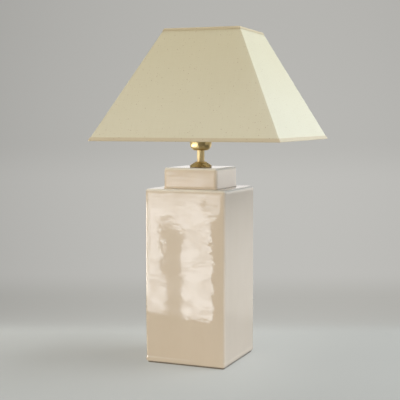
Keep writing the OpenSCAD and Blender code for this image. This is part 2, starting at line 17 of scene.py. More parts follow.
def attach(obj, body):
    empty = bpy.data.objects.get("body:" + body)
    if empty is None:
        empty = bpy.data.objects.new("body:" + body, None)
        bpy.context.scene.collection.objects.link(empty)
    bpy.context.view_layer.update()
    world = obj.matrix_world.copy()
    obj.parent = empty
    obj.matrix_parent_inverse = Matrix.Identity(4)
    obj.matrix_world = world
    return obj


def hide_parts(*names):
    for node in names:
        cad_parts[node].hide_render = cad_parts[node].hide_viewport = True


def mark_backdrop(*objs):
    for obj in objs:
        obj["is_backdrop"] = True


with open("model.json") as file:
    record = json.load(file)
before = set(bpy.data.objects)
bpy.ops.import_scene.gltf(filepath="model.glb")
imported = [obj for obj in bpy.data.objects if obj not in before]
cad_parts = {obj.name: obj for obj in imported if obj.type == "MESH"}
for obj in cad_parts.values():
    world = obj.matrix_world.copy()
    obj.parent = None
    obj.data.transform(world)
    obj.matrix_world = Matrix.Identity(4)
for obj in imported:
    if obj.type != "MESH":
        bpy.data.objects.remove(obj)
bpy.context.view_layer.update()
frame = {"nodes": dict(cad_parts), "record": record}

MM = 0.001
print("solid parts:", len(frame["nodes"]))

# %% [markdown]
# ## The camera
#
# The lamp is seen from its right front, by a camera whose lens is near the height of the
# lampholder. Vertical edges stay almost upright in such a view. That needs a camera that looks
# nearly level and a small downward shift of the lens, which is how a product photographer keeps a
# lamp from leaning.

# %% Place the camera
view_turn = math.radians(22.357)
view_tip = math.radians(2.288)
distance, aside, lens_height = 1.80788, 0.001485, 0.438881
focal_pixels, picture_pixels, film_width = 978.25, 400, 36

camera_data = bpy.data.cameras.new("camera")
camera_data.sensor_width = film_width
camera_data.lens = focal_pixels / picture_pixels * film_width
camera_data.shift_y = -0.10
camera = bpy.data.objects.new("camera", camera_data)
camera.location = (
    math.sin(view_turn) * distance - math.cos(view_turn) * aside,
    -math.cos(view_turn) * distance - math.sin(view_turn) * aside,
    lens_height,
)
camera.rotation_euler = (math.pi / 2 - view_tip, 0, view_turn)
bpy.context.collection.objects.link(camera)
bpy.context.scene.camera = camera
bpy.context.scene.view_settings.view_transform = "Standard"
print("lens:", round(camera_data.lens, 1), "mm")

# %% [markdown]
# ## Tools for materials
#
# Every finish is a small tree of shader nodes. A colour picked on a screen is in display
# values, while a shader works with light, so the first helper converts. The next ones add a node
# with its inputs, do arithmetic, stretch a place, make noise and blend. The last two start a
# material whose shader has its constants set directly on its own sockets, and give it relief.

# %% Colour and node helpers
def shown(red, green, blue):
    """Turns display values from 0 to 255 into the shader's light values."""
    return [(v / 255 / 12.92) if v <= 10 else ((v / 255 + 0.055) / 1.055) ** 2.4
            for v in (red, green, blue)]


def put(tree, kind, inputs=None, **settings):
    """Adds a shader node. An input takes a number, a colour or another node's output."""
    node = tree.nodes.new("ShaderNode" + kind)
    for name, value in settings.items():
        setattr(node, name, value)
    for name, value in (inputs or {}).items():
        socket = node.inputs[name]
        if isinstance(value, bpy.types.NodeSocket):
            tree.links.new(value, socket)
        else:
            socket.default_value = value
    return node


def sums(tree, operation, a, b=0.0, clamp=False):
    """One step of arithmetic between two numbers or outputs."""
    return put(tree, "Math", {0: a, 1: b}, operation=operation, use_clamp=clamp).outputs[0]


def product(tree, first, *others):
    """Multiplies numbers or outputs."""
    for other in others:
        first = sums(tree, "MULTIPLY", first, other)
    return first


def remainder(tree, share):
    """What is left of one."""
    return sums(tree, "SUBTRACT", 1.0, share)


def split(tree, vector):
    """The three numbers of a vector."""
    return put(tree, "SeparateXYZ", {0: vector}).outputs


def stretch(tree, vector, x, y, z):
    """A vector with each of its numbers scaled."""
    return put(tree, "Mapping", {"Vector": vector, "Scale": (x, y, z)}).outputs[0]


def soft_noise(tree, vector, scale, detail=2.0, **more):
    """Soft noise, about 0.5 on average."""
    inputs = {"Vector": vector, "Scale": scale, "Detail": detail, **more}
    return put(tree, "TexNoise", inputs).outputs["Fac"]


def blend_colours(tree, share, first, second):
    """Mixes two colours: share 0 gives the first and 1 the second."""
    inputs = {0: share, 6: (*first, 1) if isinstance(first, list) else first,
              7: (*second, 1) if isinstance(second, list) else second}
    return put(tree, "Mix", inputs, data_type="RGBA").outputs[2]


def between(tree, value, low, high, to_low=0.0, to_high=1.0):
    """A soft step: low and below gives to_low, high and above gives to_high."""
    inputs = {"Value": value, 1: low, 2: high, 3: to_low, 4: to_high}
    return put(tree, "MapRange", inputs, interpolation_type="SMOOTHSTEP").outputs[0]


def new_finish(name, colour, roughness, metallic=0.0, **constants):
    """A material with its constants on the shader itself, and its Object coordinates."""
    material = bpy.data.materials.new(name)
    material.use_nodes = True
    tree = material.node_tree
    shader = tree.nodes["Principled BSDF"]
    shader.inputs["Base Color"].default_value = (*colour, 1)
    shader.inputs["Roughness"].default_value = roughness
    shader.inputs["Metallic"].default_value = metallic
    for socket, value in constants.items():
        shader.inputs[socket.replace("_", " ")].default_value = value
    place = put(tree, "TexCoord").outputs["Object"]
    return material, tree, shader, place


def bumps(tree, shader, height, distance_mm, normal=None):
    """Feeds a height pattern to the shader as small relief."""
    inputs = {"Strength": 1.0, "Distance": distance_mm * MM, "Height": height}
    if normal:
        inputs["Normal"] = normal
    relief = put(tree, "Bump", inputs).outputs["Normal"]
    tree.links.new(relief, shader.inputs["Normal"])
    return relief


# %% [markdown]
# ## Floor and backdrop
#
# A lamp like this is photographed on a sheet that runs flat under it and curves up into a wall not
# far behind. The floor is a real surface that takes the soft shadow, and a little glow of its own
# keeps that shadow pale. Mirrors see it darker, as if it ended at a table's edge. The wall only has
# to be seen and reflected, so it glows at its own grey and light passes through it. From behind it
# can't be seen at all, which keeps every other view open.

# %% Build the floor
def lie_flat(name, size, height):
    bpy.ops.object.select_all(action="DESELECT")
    bpy.ops.mesh.primitive_plane_add(size=size, location=(0, 0, height))
    plane = bpy.context.object
    plane.name = name
    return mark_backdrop(plane) or plane


floor = lie_flat("floor", 14, -0.0003)
paper, tree, shader, place = new_finish("paper floor", shown(140, 140, 136), 0.9)
shader.inputs["Specular IOR Level"].default_value = 0.0
shader.inputs["Emission Color"].default_value = (*shown(188, 188, 183), 1)
fibre = soft_noise(tree, place, 3.0, 3.0)
tint = blend_colours(tree, fibre, shown(138, 138, 134), shown(142, 142, 138))
in_mirror = put(tree, "LightPath").outputs["Is Glossy Ray"]
tree.links.new(blend_colours(tree, in_mirror, tint, shown(60, 58, 55)), shader.inputs["Base Color"])
spot = split(tree, place)
from_lamp = put(tree, "VectorMath", {0: place}, operation="LENGTH").outputs["Value"]
# Painted light on the floor: its glow grows towards the wall and far off, and is cut back on the right of
# the lamp.
towards_wall = between(tree, spot[1], -0.60, 0.05, 0.465, 0.64)
less_glow_right = between(tree, spot[0], -0.05, 0.30, 0.0, 0.15)
far_off = between(tree, from_lamp, 1.3, 3.5, 0.0, 0.10)
pale = sums(tree, "ADD", sums(tree, "SUBTRACT", towards_wall, less_glow_right), far_off)
tree.links.new(put(tree, "Mix", {0: in_mirror, 2: pale, 3: 0.12}, data_type="FLOAT").outputs[0],
               shader.inputs["Emission Strength"])
floor.data.materials.append(paper)

# %% Build the curved backdrop
wall_back = 0.385
curve = 0.10
profile = [(wall_back - curve - 0.09, 0.0), (wall_back - curve, 0.0)]
profile += [(wall_back - curve + curve * math.sin(a), curve - curve * math.cos(a))
            for a in (math.radians(15 * step) for step in range(1, 7))]
profile += [(wall_back, 0.35), (wall_back, 3.2)]
corners = [(side * 7, back, up) for back, up in profile for side in (-1, 1)]
strips = [(2 * i, 2 * i + 1, 2 * i + 3, 2 * i + 2) for i in range(len(profile) - 1)]
wall_mesh = bpy.data.meshes.new("backdrop")
wall_mesh.from_pydata(corners, [], strips)
wall = bpy.data.objects.new("backdrop", wall_mesh)
wall.rotation_euler = (0, 0, view_turn)
bpy.context.collection.objects.link(wall)
for face in wall_mesh.polygons:
    face.use_smooth = True

wall_paint = bpy.data.materials.new("backdrop paint")
wall_paint.use_nodes = True
tree = wall_paint.node_tree
tree.nodes.remove(tree.nodes["Principled BSDF"])
place = split(tree, put(tree, "TexCoord").outputs["Object"])
lit_wall = shown(181, 180, 175)
for low, high, level in ((0.04, 0.10, 191), (0.12, 0.29, 192), (0.30, 0.40, 185), (0.40, 0.75, 182)):
    grey = shown(level, level - 1, level - 5)
    lit_wall = blend_colours(tree, between(tree, place[2], low, high), lit_wall, grey)
brightest_at, falls_off, darkest = 0.157, 0.42, 0.80
off_middle = sums(tree, "SUBTRACT", place[0], brightest_at)
across = sums(tree, "MAXIMUM", remainder(tree, product(tree, off_middle, off_middle, falls_off)), darkest)
lit = put(tree, "VectorMath", {0: lit_wall, 1: (1, 1, 1)}, operation="SCALE")
tree.links.new(across, lit.inputs["Scale"])
glow = put(tree, "Emission", {"Color": lit.outputs[0]}).outputs[0]
rays = put(tree, "LightPath").outputs
seen = sums(tree, "MAXIMUM", sums(tree, "MAXIMUM", rays["Is Camera Ray"], rays["Is Glossy Ray"]),
            rays["Is Transmission Ray"])
faces_us = remainder(tree, put(tree, "NewGeometry").outputs["Backfacing"])
fade_in = between(tree, place[1], profile[0][0], wall_back - 0.02)
fade_out = between(tree, sums(tree, "ABSOLUTE", place[0]), 1.2, 2.6, 1.0, 0.0)
share = product(tree, seen, faces_us, fade_in, fade_out)
clear = put(tree, "BsdfTransparent").outputs[0]
tree.links.new(put(tree, "MixShader", {0: share, 1: clear, 2: glow}).outputs[0],
               tree.nodes["Material Output"].inputs["Surface"])
wall_mesh.materials.append(wall_paint)
print("backdrop stands", wall_back, "m behind the stem")

# %% [markdown]
# ## Soft light
#
# Two large soft boxes stand beside the lamp. The right one hangs high, is cool, and has a low twin
# that lights the upright faces but isn't mirrored. The left one is dimmer and makes a bright line on
# the brass. The front gets a low, warm fill that reaches under the shade's edge, and a faint box
# hangs overhead. None of them shows to the camera.

# %% Hang the panels
lamp_middle = Vector((0, 0, 0.25))


def panel(name, azimuth, elevation, away, width, height, glow_level, colour, mirrored=True):
    """A soft box on a sphere round the lamp, turned to it. Its glow is what a mirror would show."""
    a, e = math.radians(azimuth), math.radians(elevation)
    data = bpy.data.lights.new(name, "AREA")
    data.shape = "RECTANGLE"
    data.size, data.size_y = width, height
    data.color = colour
    data.energy = glow_level * math.pi * width * height
    light = bpy.data.objects.new(name, data)
    out = Vector((math.sin(a) * math.cos(e), -math.cos(a) * math.cos(e), math.sin(e)))
    light.location = lamp_middle + out * away
    light.rotation_euler = out.to_track_quat("Z", "Y").to_euler()
    light.visible_camera = False
    light.visible_glossy = mirrored
    bpy.context.collection.objects.link(light)


panel("key panel", 110, 55, 4.6, 3.2, 3.2, 6.9, (0.88, 0.94, 1.0))
panel("low key", 96, 10, 4.6, 3.2, 1.8, 3.9, (0.76, 0.86, 1.0), mirrored=False)
panel("left panel", -80, 20, 3.4, 4.4, 2.9, 1.4, (1.0, 0.97, 0.87))
panel("front fill", -12, 4, 5.6, 4.4, 1.4, 7.4, (1.0, 0.90, 0.74), mirrored=False)
panel("top panel", 10, 88, 2.4, 1.6, 1.6, 0.3, (1.0, 0.98, 0.95))

# %% [markdown]
# ## What the glaze mirrors
#
# The front face of the body is seen a little from above, so it mirrors the floor in front of the
# lamp, outside the picture. A bright sheet lies there. It is laid out in the face's own
# millimetres: each spot of the sheet is where the camera's sight line lands after the face turns it
# back. So its shapes can be placed on the face: an uneven lower limit, a dark drifting streak, and
# an end before the right edge. Small upright cards do the rest: one behind the lamp brightens the
# level tops, which mirror what is low and far, and others draw thin lines on the rounded edges or
# light up the brass.

# %% Find what the face mirrors
body_face = -0.0775
eye = (camera.location.x, 2 * body_face - camera.location.y, camera.location.z)


def mirrored_spot(face_x, face_z):
    """Where the sight line to a spot of the front face, in millimetres, lands on the floor."""
    x, z = face_x * MM, face_z * MM
    reach = eye[2] / (eye[2] - z)
    return (eye[0] + (x - eye[0]) * reach, eye[1] + (body_face - eye[1]) * reach, 0.002)


def glow_only(name, piece, strength=1.0, colour=(1.0, 0.97, 0.94)):
    """A staged card that glows on its front side and is seen in mirrors alone."""
    material = bpy.data.materials.new(name)
    material.use_nodes = True
    tree = material.node_tree
    tree.nodes.remove(tree.nodes["Principled BSDF"])
    glow = put(tree, "Emission", {"Color": (*colour, 1), "Strength": strength}).outputs[0]
    nothing = put(tree, "BsdfTransparent").outputs[0]
    mix = put(tree, "MixShader", {1: nothing, 2: glow})
    tree.links.new(mix.outputs[0], tree.nodes["Material Output"].inputs["Surface"])
    front = remainder(tree, put(tree, "NewGeometry").outputs["Backfacing"])
    tree.links.new(front, mix.inputs[0])
    piece.data.materials.append(material)
    piece.visible_camera = piece.visible_shadow = False
    return tree, mix.inputs[0], front


# %% Lay the bright sheet
sheet_x = [-200 + 20 * i for i in range(21)]
sheet_z = [74 + 12 * i for i in range(24)] + [357]
spots = [mirrored_spot(x, z) for z in sheet_z for x in sheet_x]
wide = len(sheet_x)
tiles = [(r * wide + c, (r + 1) * wide + c, (r + 1) * wide + c + 1, r * wide + c + 1)
         for r in range(len(sheet_z) - 1) for c in range(wide - 1)]
sheet_mesh = bpy.data.meshes.new("bright sheet")
sheet_mesh.from_pydata(spots, [], tiles)
layer = sheet_mesh.uv_layers.new(name="Face")
for loop in sheet_mesh.loops:
    layer.data[loop.index].uv = (sheet_x[loop.vertex_index % wide], sheet_z[loop.vertex_index // wide])
bright_sheet = bpy.data.objects.new("bright sheet", sheet_mesh)
bpy.context.collection.objects.link(bright_sheet)
if sheet_mesh.polygons[0].normal.z < 0:
    sheet_mesh.flip_normals()

bright_sheet.visible_diffuse = False
tree, share, front = glow_only("bright sheet", bright_sheet, 7.6, (0.90, 0.94, 1.0))
on_face = put(tree, "UVMap", uv_map="Face").outputs[0]
soft = put(tree, "TexNoise", {"Vector": on_face, "Scale": 0.035, "Detail": 2.0}).outputs["Color"]
centred = put(tree, "VectorMath", {0: soft, 1: (0.5, 0.5, 0.5)}, operation="SUBTRACT").outputs[0]
drift = put(tree, "VectorMath", {0: centred, 1: (22, 16, 0)}, operation="MULTIPLY").outputs[0]
at = split(tree, put(tree, "VectorMath", {0: on_face, 1: drift}).outputs[0])
flat = split(tree, on_face)
streak_drifts_in = between(tree, at[1], 255, 280, 0, 15)
streak_left = sums(tree, "ADD", between(tree, at[1], 80, 200, -34, -47), streak_drifts_in)
streak_right = between(tree, at[1], 222, 278, -5, -32)
past_left = between(tree, sums(tree, "SUBTRACT", at[0], streak_left), -5, 6)
before_right = between(tree, sums(tree, "SUBTRACT", streak_right, at[0]), -4, 5)
below_top = between(tree, at[1], 232, 286, 1.0, 0.0)
streak = product(tree, past_left, before_right, below_top)
neck_part = between(tree, flat[1], 312, 318)
wider_on_neck = product(tree, neck_part, 60)
end_right = sums(tree, "ADD", between(tree, at[1], 262, 284, 56, 92), wider_on_neck)
inside = between(tree, sums(tree, "SUBTRACT", end_right, flat[0]), -0.5, 2.5)
uneven = soft_noise(tree, on_face, 0.07, 3.0)
lower_limit = sums(tree, "ADD", between(tree, flat[0], -26, -8, 81.5, 75), product(tree, uneven, 14.0))
above = between(tree, sums(tree, "SUBTRACT", flat[1], lower_limit), -1.0, 1.0)
level_lines = soft_noise(tree, stretch(tree, on_face, 0.012, 0.28, 1.0), 1.0, 2.0)
lined = product(tree, between(tree, level_lines, 0.42, 0.56, 0.60, 0.0), between(tree, flat[1], 288, 304))
neck_dimmed = product(tree, neck_part, between(tree, flat[0], -44, 10, 0.0, 0.20))
# Painted reflection: a round gap in the sheet's glow puts a darker spot into what the front face mirrors.
dark_spot_at = put(tree, "VectorMath", {0: on_face, 1: (38, 294, 0)}, operation="DISTANCE").outputs["Value"]
outside_dark_spot = between(tree, dark_spot_at, 4, 22, 0.05, 1.0)
mottle = soft_noise(tree, stretch(tree, on_face, 0.6, 1.4, 1.0), 0.035, 4.0)
cover = product(tree, inside, outside_dark_spot, above)
for taken in (product(tree, streak, 0.85), lined, neck_dimmed):
    cover = product(tree, cover, remainder(tree, taken))
cover = product(tree, cover, between(tree, mottle, 0.42, 0.58, 0.56, 1.0))
tree.links.new(product(tree, cover, front), share)
print("bright sheet tiles:", len(tiles))


# %% Stand small cards
def upright_card(name, azimuth, away, width, low, high, glow_level):
    """A card that stands at an azimuth and faces the stem."""
    turn = Matrix.Rotation(math.radians(azimuth), 4, "Z")
    corners = [turn @ Vector((x, -away, z)) for x, z in ((-width / 2, low), (-width / 2, high),
                                                         (width / 2, high), (width / 2, low))]
    mesh = bpy.data.meshes.new(name)
    mesh.from_pydata(corners, [], [(0, 1, 2, 3)])
    piece = bpy.data.objects.new(name, mesh)
    bpy.context.collection.objects.link(piece)
    mesh.update()
    facing = mesh.polygons[0].normal.dot(turn @ Vector((0, 1, 0))) > 0
    if not facing:
        mesh.flip_normals()
    glow_only(name, piece, glow_level)
    piece.visible_diffuse = False


upright_card("rim card", 180 + math.degrees(view_turn), 0.33, 0.30, 0.29, 0.60, 1.05)
upright_card("right edge card", 50, 0.36, 0.07, 0.0, 0.14, 4.0)
upright_card("left edge card", -66, 0.75, 0.80, 0.0, 0.24, 8.5)
upright_card("brass card", -38, 1.5, 0.80, 0.30, 0.80, 1.3)
upright_card("brow card", -22, 2.0, 0.85, 0.70, 1.16, 4.0)
upright_card("neck card", 157.6, 0.34, 0.22, 0.291, 0.37, 1.5)
upright_card("right brass card", 96, 1.3, 1.1, 0.34, 0.62, 2.8)

# %% Fill the room with light
world = bpy.data.worlds.new("studio")
bpy.context.scene.world = world
world.use_nodes = True
tree = world.node_tree
rays = put(tree, "LightPath").outputs
seen = sums(tree, "MAXIMUM", rays["Is Camera Ray"], rays["Is Transmission Ray"])
way = put(tree, "TexCoord").outputs["Generated"]
up = split(tree, way)[2]
room = blend_colours(tree, between(tree, up, -0.3, 0.9), [0.07, 0.065, 0.06], [0.06, 0.06, 0.06])
ahead = put(tree, "VectorMath", {0: way, 1: (0.60, -0.80, 0)}, operation="DOT_PRODUCT").outputs["Value"]
mirrored_room = blend_colours(tree, between(tree, ahead, 0.3, 0.9), [0.52, 0.52, 0.50], [0.10, 0.095, 0.09])
room = blend_colours(tree, rays["Is Glossy Ray"], room, mirrored_room)
colour = blend_colours(tree, seen, room, shown(181, 180, 175))
tree.links.new(colour, tree.nodes["Background"].inputs["Color"])
tree.nodes["Background"].inputs["Strength"].default_value = 1.0

# %% [markdown]
# ## Effects that several finishes share
#
# Three effects come back on many parts. Soft clouds break up any even colour or gloss. Fine rings
# are left by a lathe on turned metal. A plain weave of warp and weft threads covers the shade and
# its hems. Each is built once as a group that puts out numbers, and each finish feeds it its own
# values.

# %% Group helper
def new_group(name, numbers, outputs):
    """An empty shader group with number inputs and outputs, and a Vector input."""
    group = bpy.data.node_groups.new(name, "ShaderNodeTree")
    group.interface.new_socket("Vector", in_out="INPUT", socket_type="NodeSocketVector")
    for label, value in numbers.items():
        socket = group.interface.new_socket(label, in_out="INPUT", socket_type="NodeSocketFloat")
        socket.default_value = value
    for label in outputs:
        group.interface.new_socket(label, in_out="OUTPUT", socket_type="NodeSocketFloat")
    return group, group.nodes.new("NodeGroupInput").outputs, group.nodes.new("NodeGroupOutput").inputs


def use(tree, group, inputs):
    """Places a group in a finish with its own values."""
    node = tree.nodes.new("ShaderNodeGroup")
    node.node_tree = group
    for name, value in inputs.items():
        if isinstance(value, bpy.types.NodeSocket):
            tree.links.new(value, node.inputs[name])
        else:
            node.inputs[name].default_value = value
    return node.outputs


# %% Clouds
clouds, given, result = new_group("clouds", {"Scale": 20.0, "Low": 0.0, "High": 1.0}, ["Value"])
soft = put(clouds, "TexNoise", {"Vector": given["Vector"], "Scale": given["Scale"], "Detail": 4.0,
                                "Roughness": 0.55}).outputs["Fac"]
spread = put(clouds, "MapRange", {"Value": soft, 1: 0.3, 2: 0.7, 3: given["Low"], 4: given["High"]})
clouds.links.new(spread.outputs[0], result["Value"])

# %% Lathe rings
rings, given, result = new_group("lathe rings", {"Pitch": 0.0006, "Waver": 0.3}, ["Height"])
apart = split(rings, given["Vector"])
across = put(rings, "VectorMath", {0: given["Vector"], 1: (1, 1, 0)}, operation="MULTIPLY")
radius = put(rings, "VectorMath", {0: across.outputs[0]}, operation="LENGTH").outputs["Value"]
travel = sums(rings, "DIVIDE", sums(rings, "ADD", radius, apart[2]), given["Pitch"])
uneven = put(rings, "TexNoise", {"W": travel, "Scale": 1.0, "Detail": 3.0},
             noise_dimensions="1D").outputs["Fac"]
drift = soft_noise(rings, given["Vector"], 90.0)
both = sums(rings, "ADD", uneven, product(rings, drift, given["Waver"]))
rings.links.new(both, result["Height"])

# %% Weave
weave, given, result = new_group("weave", {"Pitch": 0.0007, "Slub": 0.35}, ["Height", "Thread", "Fleck"])
along = put(weave, "VectorMath", {0: given["Vector"], 1: (1, 1, 1)}, operation="SCALE")
weave.links.new(sums(weave, "DIVIDE", 1.0, given["Pitch"]), along.inputs["Scale"])
count = split(weave, along.outputs[0])
turn_u = product(weave, count[0], math.pi)
turn_v = product(weave, count[1], math.pi)
warp = sums(weave, "ABSOLUTE", sums(weave, "SINE", turn_u))
weft = sums(weave, "ABSOLUTE", sums(weave, "SINE", turn_v))
check = sums(weave, "ADD", sums(weave, "FLOOR", count[0]), sums(weave, "FLOOR", count[1]))
over = sums(weave, "PINGPONG", check, 1.0)
top_thread = put(weave, "Mix", {0: over, 2: warp, 3: weft}, data_type="FLOAT").outputs[0]
stretch_u = put(weave, "VectorMath", {0: along.outputs[0], 1: (0.9, 0.015, 1)}, operation="MULTIPLY")
stretch_v = put(weave, "VectorMath", {0: along.outputs[0], 1: (0.015, 0.9, 1)}, operation="MULTIPLY")
slub_u = soft_noise(weave, stretch_u.outputs[0], 1.0, 2.0)
slub_v = soft_noise(weave, stretch_v.outputs[0], 1.0, 2.0)
slubs = put(weave, "Mix", {0: over, 2: slub_u, 3: slub_v}, data_type="FLOAT").outputs[0]
uneven = product(weave, sums(weave, "SUBTRACT", slubs, 0.5), given["Slub"])
weave.links.new(sums(weave, "ADD", top_thread, uneven), result["Height"])
weave.links.new(slubs, result["Thread"])
flecks = 0.0
for per_metre, share_kept, core in ((105.0, 0.11, 0.075), (240.0, 0.08, 0.11)):
    cells = put(weave, "TexVoronoi", {"Vector": given["Vector"], "Scale": per_metre},
                voronoi_dimensions="2D").outputs
    near_core = between(weave, cells["Distance"], core * 0.6, core * 1.2, 1.0, 0.0)
    lot = put(weave, "SeparateColor", {0: cells["Color"]}).outputs[0]
    kept = product(weave, near_core, sums(weave, "LESS_THAN", lot, share_kept))
    flecks = sums(weave, "MAXIMUM", kept, flecks)
weave.links.new(flecks, result["Fleck"])
print("shared effects:", clouds.name, rings.name, weave.name)

# %% [markdown]
# ## Glaze
#
# Thick stoneware glaze is a coloured glass that melted on the pot. It is very smooth at close
# range, yet its surface rolls a little, so mirrored edges waver. It could be one glossy shader with
# a painted bump, but the roll has two scales: long waves, which the body's own mesh carries, and
# short ripples, which are cheaper as relief in the shader. Fine throwing lines run level near the
# top of each face. The rims that turn upward get a paler colour, a painted highlight.

# %% Cream glaze
glaze, tree, shader, place = new_finish("cream glaze", shown(225, 210, 191), 0.022, IOR=1.52)
cloudy = use(tree, clouds, {"Vector": place, "Scale": 14.0})["Value"]
milky = blend_colours(tree, cloudy, shown(224, 209, 190), shown(227, 212, 194))
runs = stretch(tree, place, 1.0, 1.0, 0.12)
streak = use(tree, clouds, {"Vector": runs, "Scale": 45.0, "High": 0.35})["Value"]
body_colour = blend_colours(tree, streak, milky, shown(230, 216, 199))
facing = split(tree, put(tree, "TexCoord").outputs["Normal"])[2]
reach = split(tree, put(tree, "VectorMath", {0: place}, operation="ABSOLUTE").outputs[0])
outward = sums(tree, "MAXIMUM", reach[0], reach[1])
near_side, near_neck_top = between(tree, outward, 0.0675, 0.0725), between(tree, reach[2], 0.3345, 0.3495)
at_rim = sums(tree, "MAXIMUM", near_side, near_neck_top)
# Painted highlight: the rims that face upward get a paler colour.
rim_highlight_share = product(tree, between(tree, facing, 0.04, 0.6), at_rim)
rim_highlight_colour = blend_colours(tree, rim_highlight_share, body_colour, shown(247, 241, 231))
tree.links.new(rim_highlight_colour, shader.inputs["Base Color"])
ripple = soft_noise(tree, place, 20.0, 1.0, Roughness=0.4)
thrown = stretch(tree, place, 1.0, 1.0, 2.4)
finer = soft_noise(tree, thrown, 52.0, 2.0)
level = stretch(tree, place, 0.04, 0.04, 1.0)
lines = soft_noise(tree, level, 320.0, 1.0)
up = split(tree, place)[2]
near_top = between(tree, up, 0.2745, 0.3065)
peel = soft_noise(tree, place, 420.0, 1.0)
relief = bumps(tree, shader, ripple, 0.24)
relief = bumps(tree, shader, finer, 0.09, relief)
relief = bumps(tree, shader, product(tree, lines, near_top), 0.07, relief)
bumps(tree, shader, peel, 0.0018, relief)

# %% [markdown]
# ## Brass and the other metals
#
# The visible brass is lacquered and satin: a metal shader with a warm base colour, lathe rings as
# relief, and clouds in its gloss where hands and heat have dulled it. The cap on the neck has a
# darker base colour, and the neck tube is brushed. The shell, contacts and zinc plated fixings use
# the same two groups with their own values, so all metals belong together.

# %% One helper for every metal
def metal_finish(name, base, worn, roughness, pitch, ring_height):
    material, tree, shader, place = new_finish(name, base, roughness, 1.0)
    patches = use(tree, clouds, {"Vector": place, "Scale": 85.0})["Value"]
    tree.links.new(blend_colours(tree, patches, base, worn), shader.inputs["Base Color"])
    dulled = use(tree, clouds, {"Vector": place, "Scale": 160.0, "Low": roughness * 0.9,
                                "High": roughness * 1.15})["Value"]
    tree.links.new(dulled, shader.inputs["Roughness"])
    height = use(tree, rings, {"Vector": place, "Pitch": pitch, "Waver": 0.25})["Height"]
    bumps(tree, shader, height, ring_height)
    return material


satin_brass = metal_finish("satin brass", [0.70, 0.55, 0.27], [0.64, 0.49, 0.23], 0.37, 0.0008, 0.0012)
tube_brass = metal_finish("brushed brass", [0.90, 0.75, 0.45], [0.84, 0.68, 0.38], 0.60, 0.0008, 0.0012)
# The cap on the neck gets a darker base colour than the other brass.
darkened_brass = metal_finish("aged brass", [0.60, 0.45, 0.20], [0.50, 0.36, 0.14], 0.27, 0.0008, 0.0012)
inner_brass = metal_finish("bright brass", [0.76, 0.58, 0.27], [0.70, 0.50, 0.21], 0.20, 0.0005, 0.003)
zinc_steel = metal_finish("zinc plated steel", [0.58, 0.59, 0.62], [0.50, 0.51, 0.50], 0.30, 0.0004, 0.004)
rolled_cap = metal_finish("rolled bulb cap", [0.78, 0.78, 0.80], [0.70, 0.70, 0.71], 0.22, 0.0005, 0.002)
solder = metal_finish("dull solder", [0.56, 0.56, 0.57], [0.42, 0.42, 0.43], 0.42, 0.002, 0.02)

# %% [markdown]
# ## Cloth
#
# The shade is unbleached cotton on a stiff white lining. Up close it is a plain weave with thicker
# threads here and there and a few brown seed specks. The pattern follows the cloth, so it reads the
# piece's own UV map, which is laid out in metres. Its colour turns a little darker and yellower
# towards the top. A soft sheen stands for the fine fibres.

# %% Shade cloth, hem and lining
def cloth_finish(name, base, thread, roughness, sheen, pitch, depth):
    material, tree, shader, place = new_finish(name, base, roughness)
    shader.inputs["Sheen Weight"].default_value = sheen
    shader.inputs["Sheen Roughness"].default_value = 0.5
    shader.inputs["Specular IOR Level"].default_value = 0.25
    on_cloth = put(tree, "UVMap", uv_map="UVMap").outputs[0]
    made = use(tree, weave, {"Vector": on_cloth, "Pitch": pitch})
    varied = between(tree, made["Thread"], 0.3, 0.7)
    colour = blend_colours(tree, varied, base, thread)
    patches = use(tree, clouds, {"Vector": on_cloth, "Scale": 11.0, "High": 0.5})["Value"]
    colour = blend_colours(tree, patches, colour, thread)
    height = split(tree, on_cloth)[1]
    # The colour is made darker and yellower towards the top of the cloth.
    darkened = put(tree, "VectorMath", {0: colour, 1: (0.92, 0.90, 0.84)}, operation="MULTIPLY").outputs[0]
    colour = blend_colours(tree, between(tree, height, 0.0, 0.21), colour, darkened)
    colour = blend_colours(tree, product(tree, made["Fleck"], 0.55), colour, shown(150, 112, 70))
    tree.links.new(colour, shader.inputs["Base Color"])
    bumps(tree, shader, made["Height"], depth)
    return material


shade_cloth = cloth_finish("unbleached cotton", shown(219, 212, 187), shown(224, 218, 195),
                           0.85, 0.05, 0.0007, 0.05)
# Painted shade: the hem is the panel's cloth, given a darker colour where its rolled edge turns from the
# light.
hem_cloth = cloth_finish("rolled hem cotton", shown(206, 192, 164), shown(212, 199, 172),
                         0.88, 0.05, 0.0007, 0.06)

lining, tree, shader, place = new_finish("white lining", shown(236, 234, 226), 0.45)
smudge = use(tree, clouds, {"Vector": place, "Scale": 25.0})["Value"]
tree.links.new(blend_colours(tree, smudge, shown(238, 236, 229), shown(230, 227, 216)),
               shader.inputs["Base Color"])
pressed = soft_noise(tree, place, 900.0, 2.0)
bumps(tree, shader, pressed, 0.012)

# %% [markdown]
# ## Felt
#
# Pressed wool felt has no threads. Its short fibres lie every way, so noise stretched one way is
# added to noise stretched the other way. Strong sheen and no gloss at all do the rest.

# %% Beige felt
felt, tree, shader, place = new_finish("beige felt", shown(126, 116, 102), 1.0)
shader.inputs["Sheen Weight"].default_value = 0.6
shader.inputs["Sheen Roughness"].default_value = 0.6
shader.inputs["Specular IOR Level"].default_value = 0.0
one_way = stretch(tree, place, 1.0, 0.15, 1.0)
other_way = stretch(tree, place, 0.15, 1.0, 1.0)
hairs = sums(tree, "ADD",
             soft_noise(tree, one_way, 1500.0, 2.0),
             soft_noise(tree, other_way, 1500.0, 2.0))
fuzz = between(tree, hairs, 0.75, 1.25)
fibre_colour = blend_colours(tree, fuzz, shown(112, 103, 89), shown(138, 128, 113))
tree.links.new(fibre_colour, shader.inputs["Base Color"])
bumps(tree, shader, hairs, 0.12)


# %% [markdown]
# ## Porcelain, plastics, rubber, coated wire and the bulb
#
# These parts are small or mostly hidden, yet each still shows its kind when the lamp is opened.
# One helper covers the coated and moulded ones: two close colours in clouds, a grain as relief, and
# gloss that varies a little.

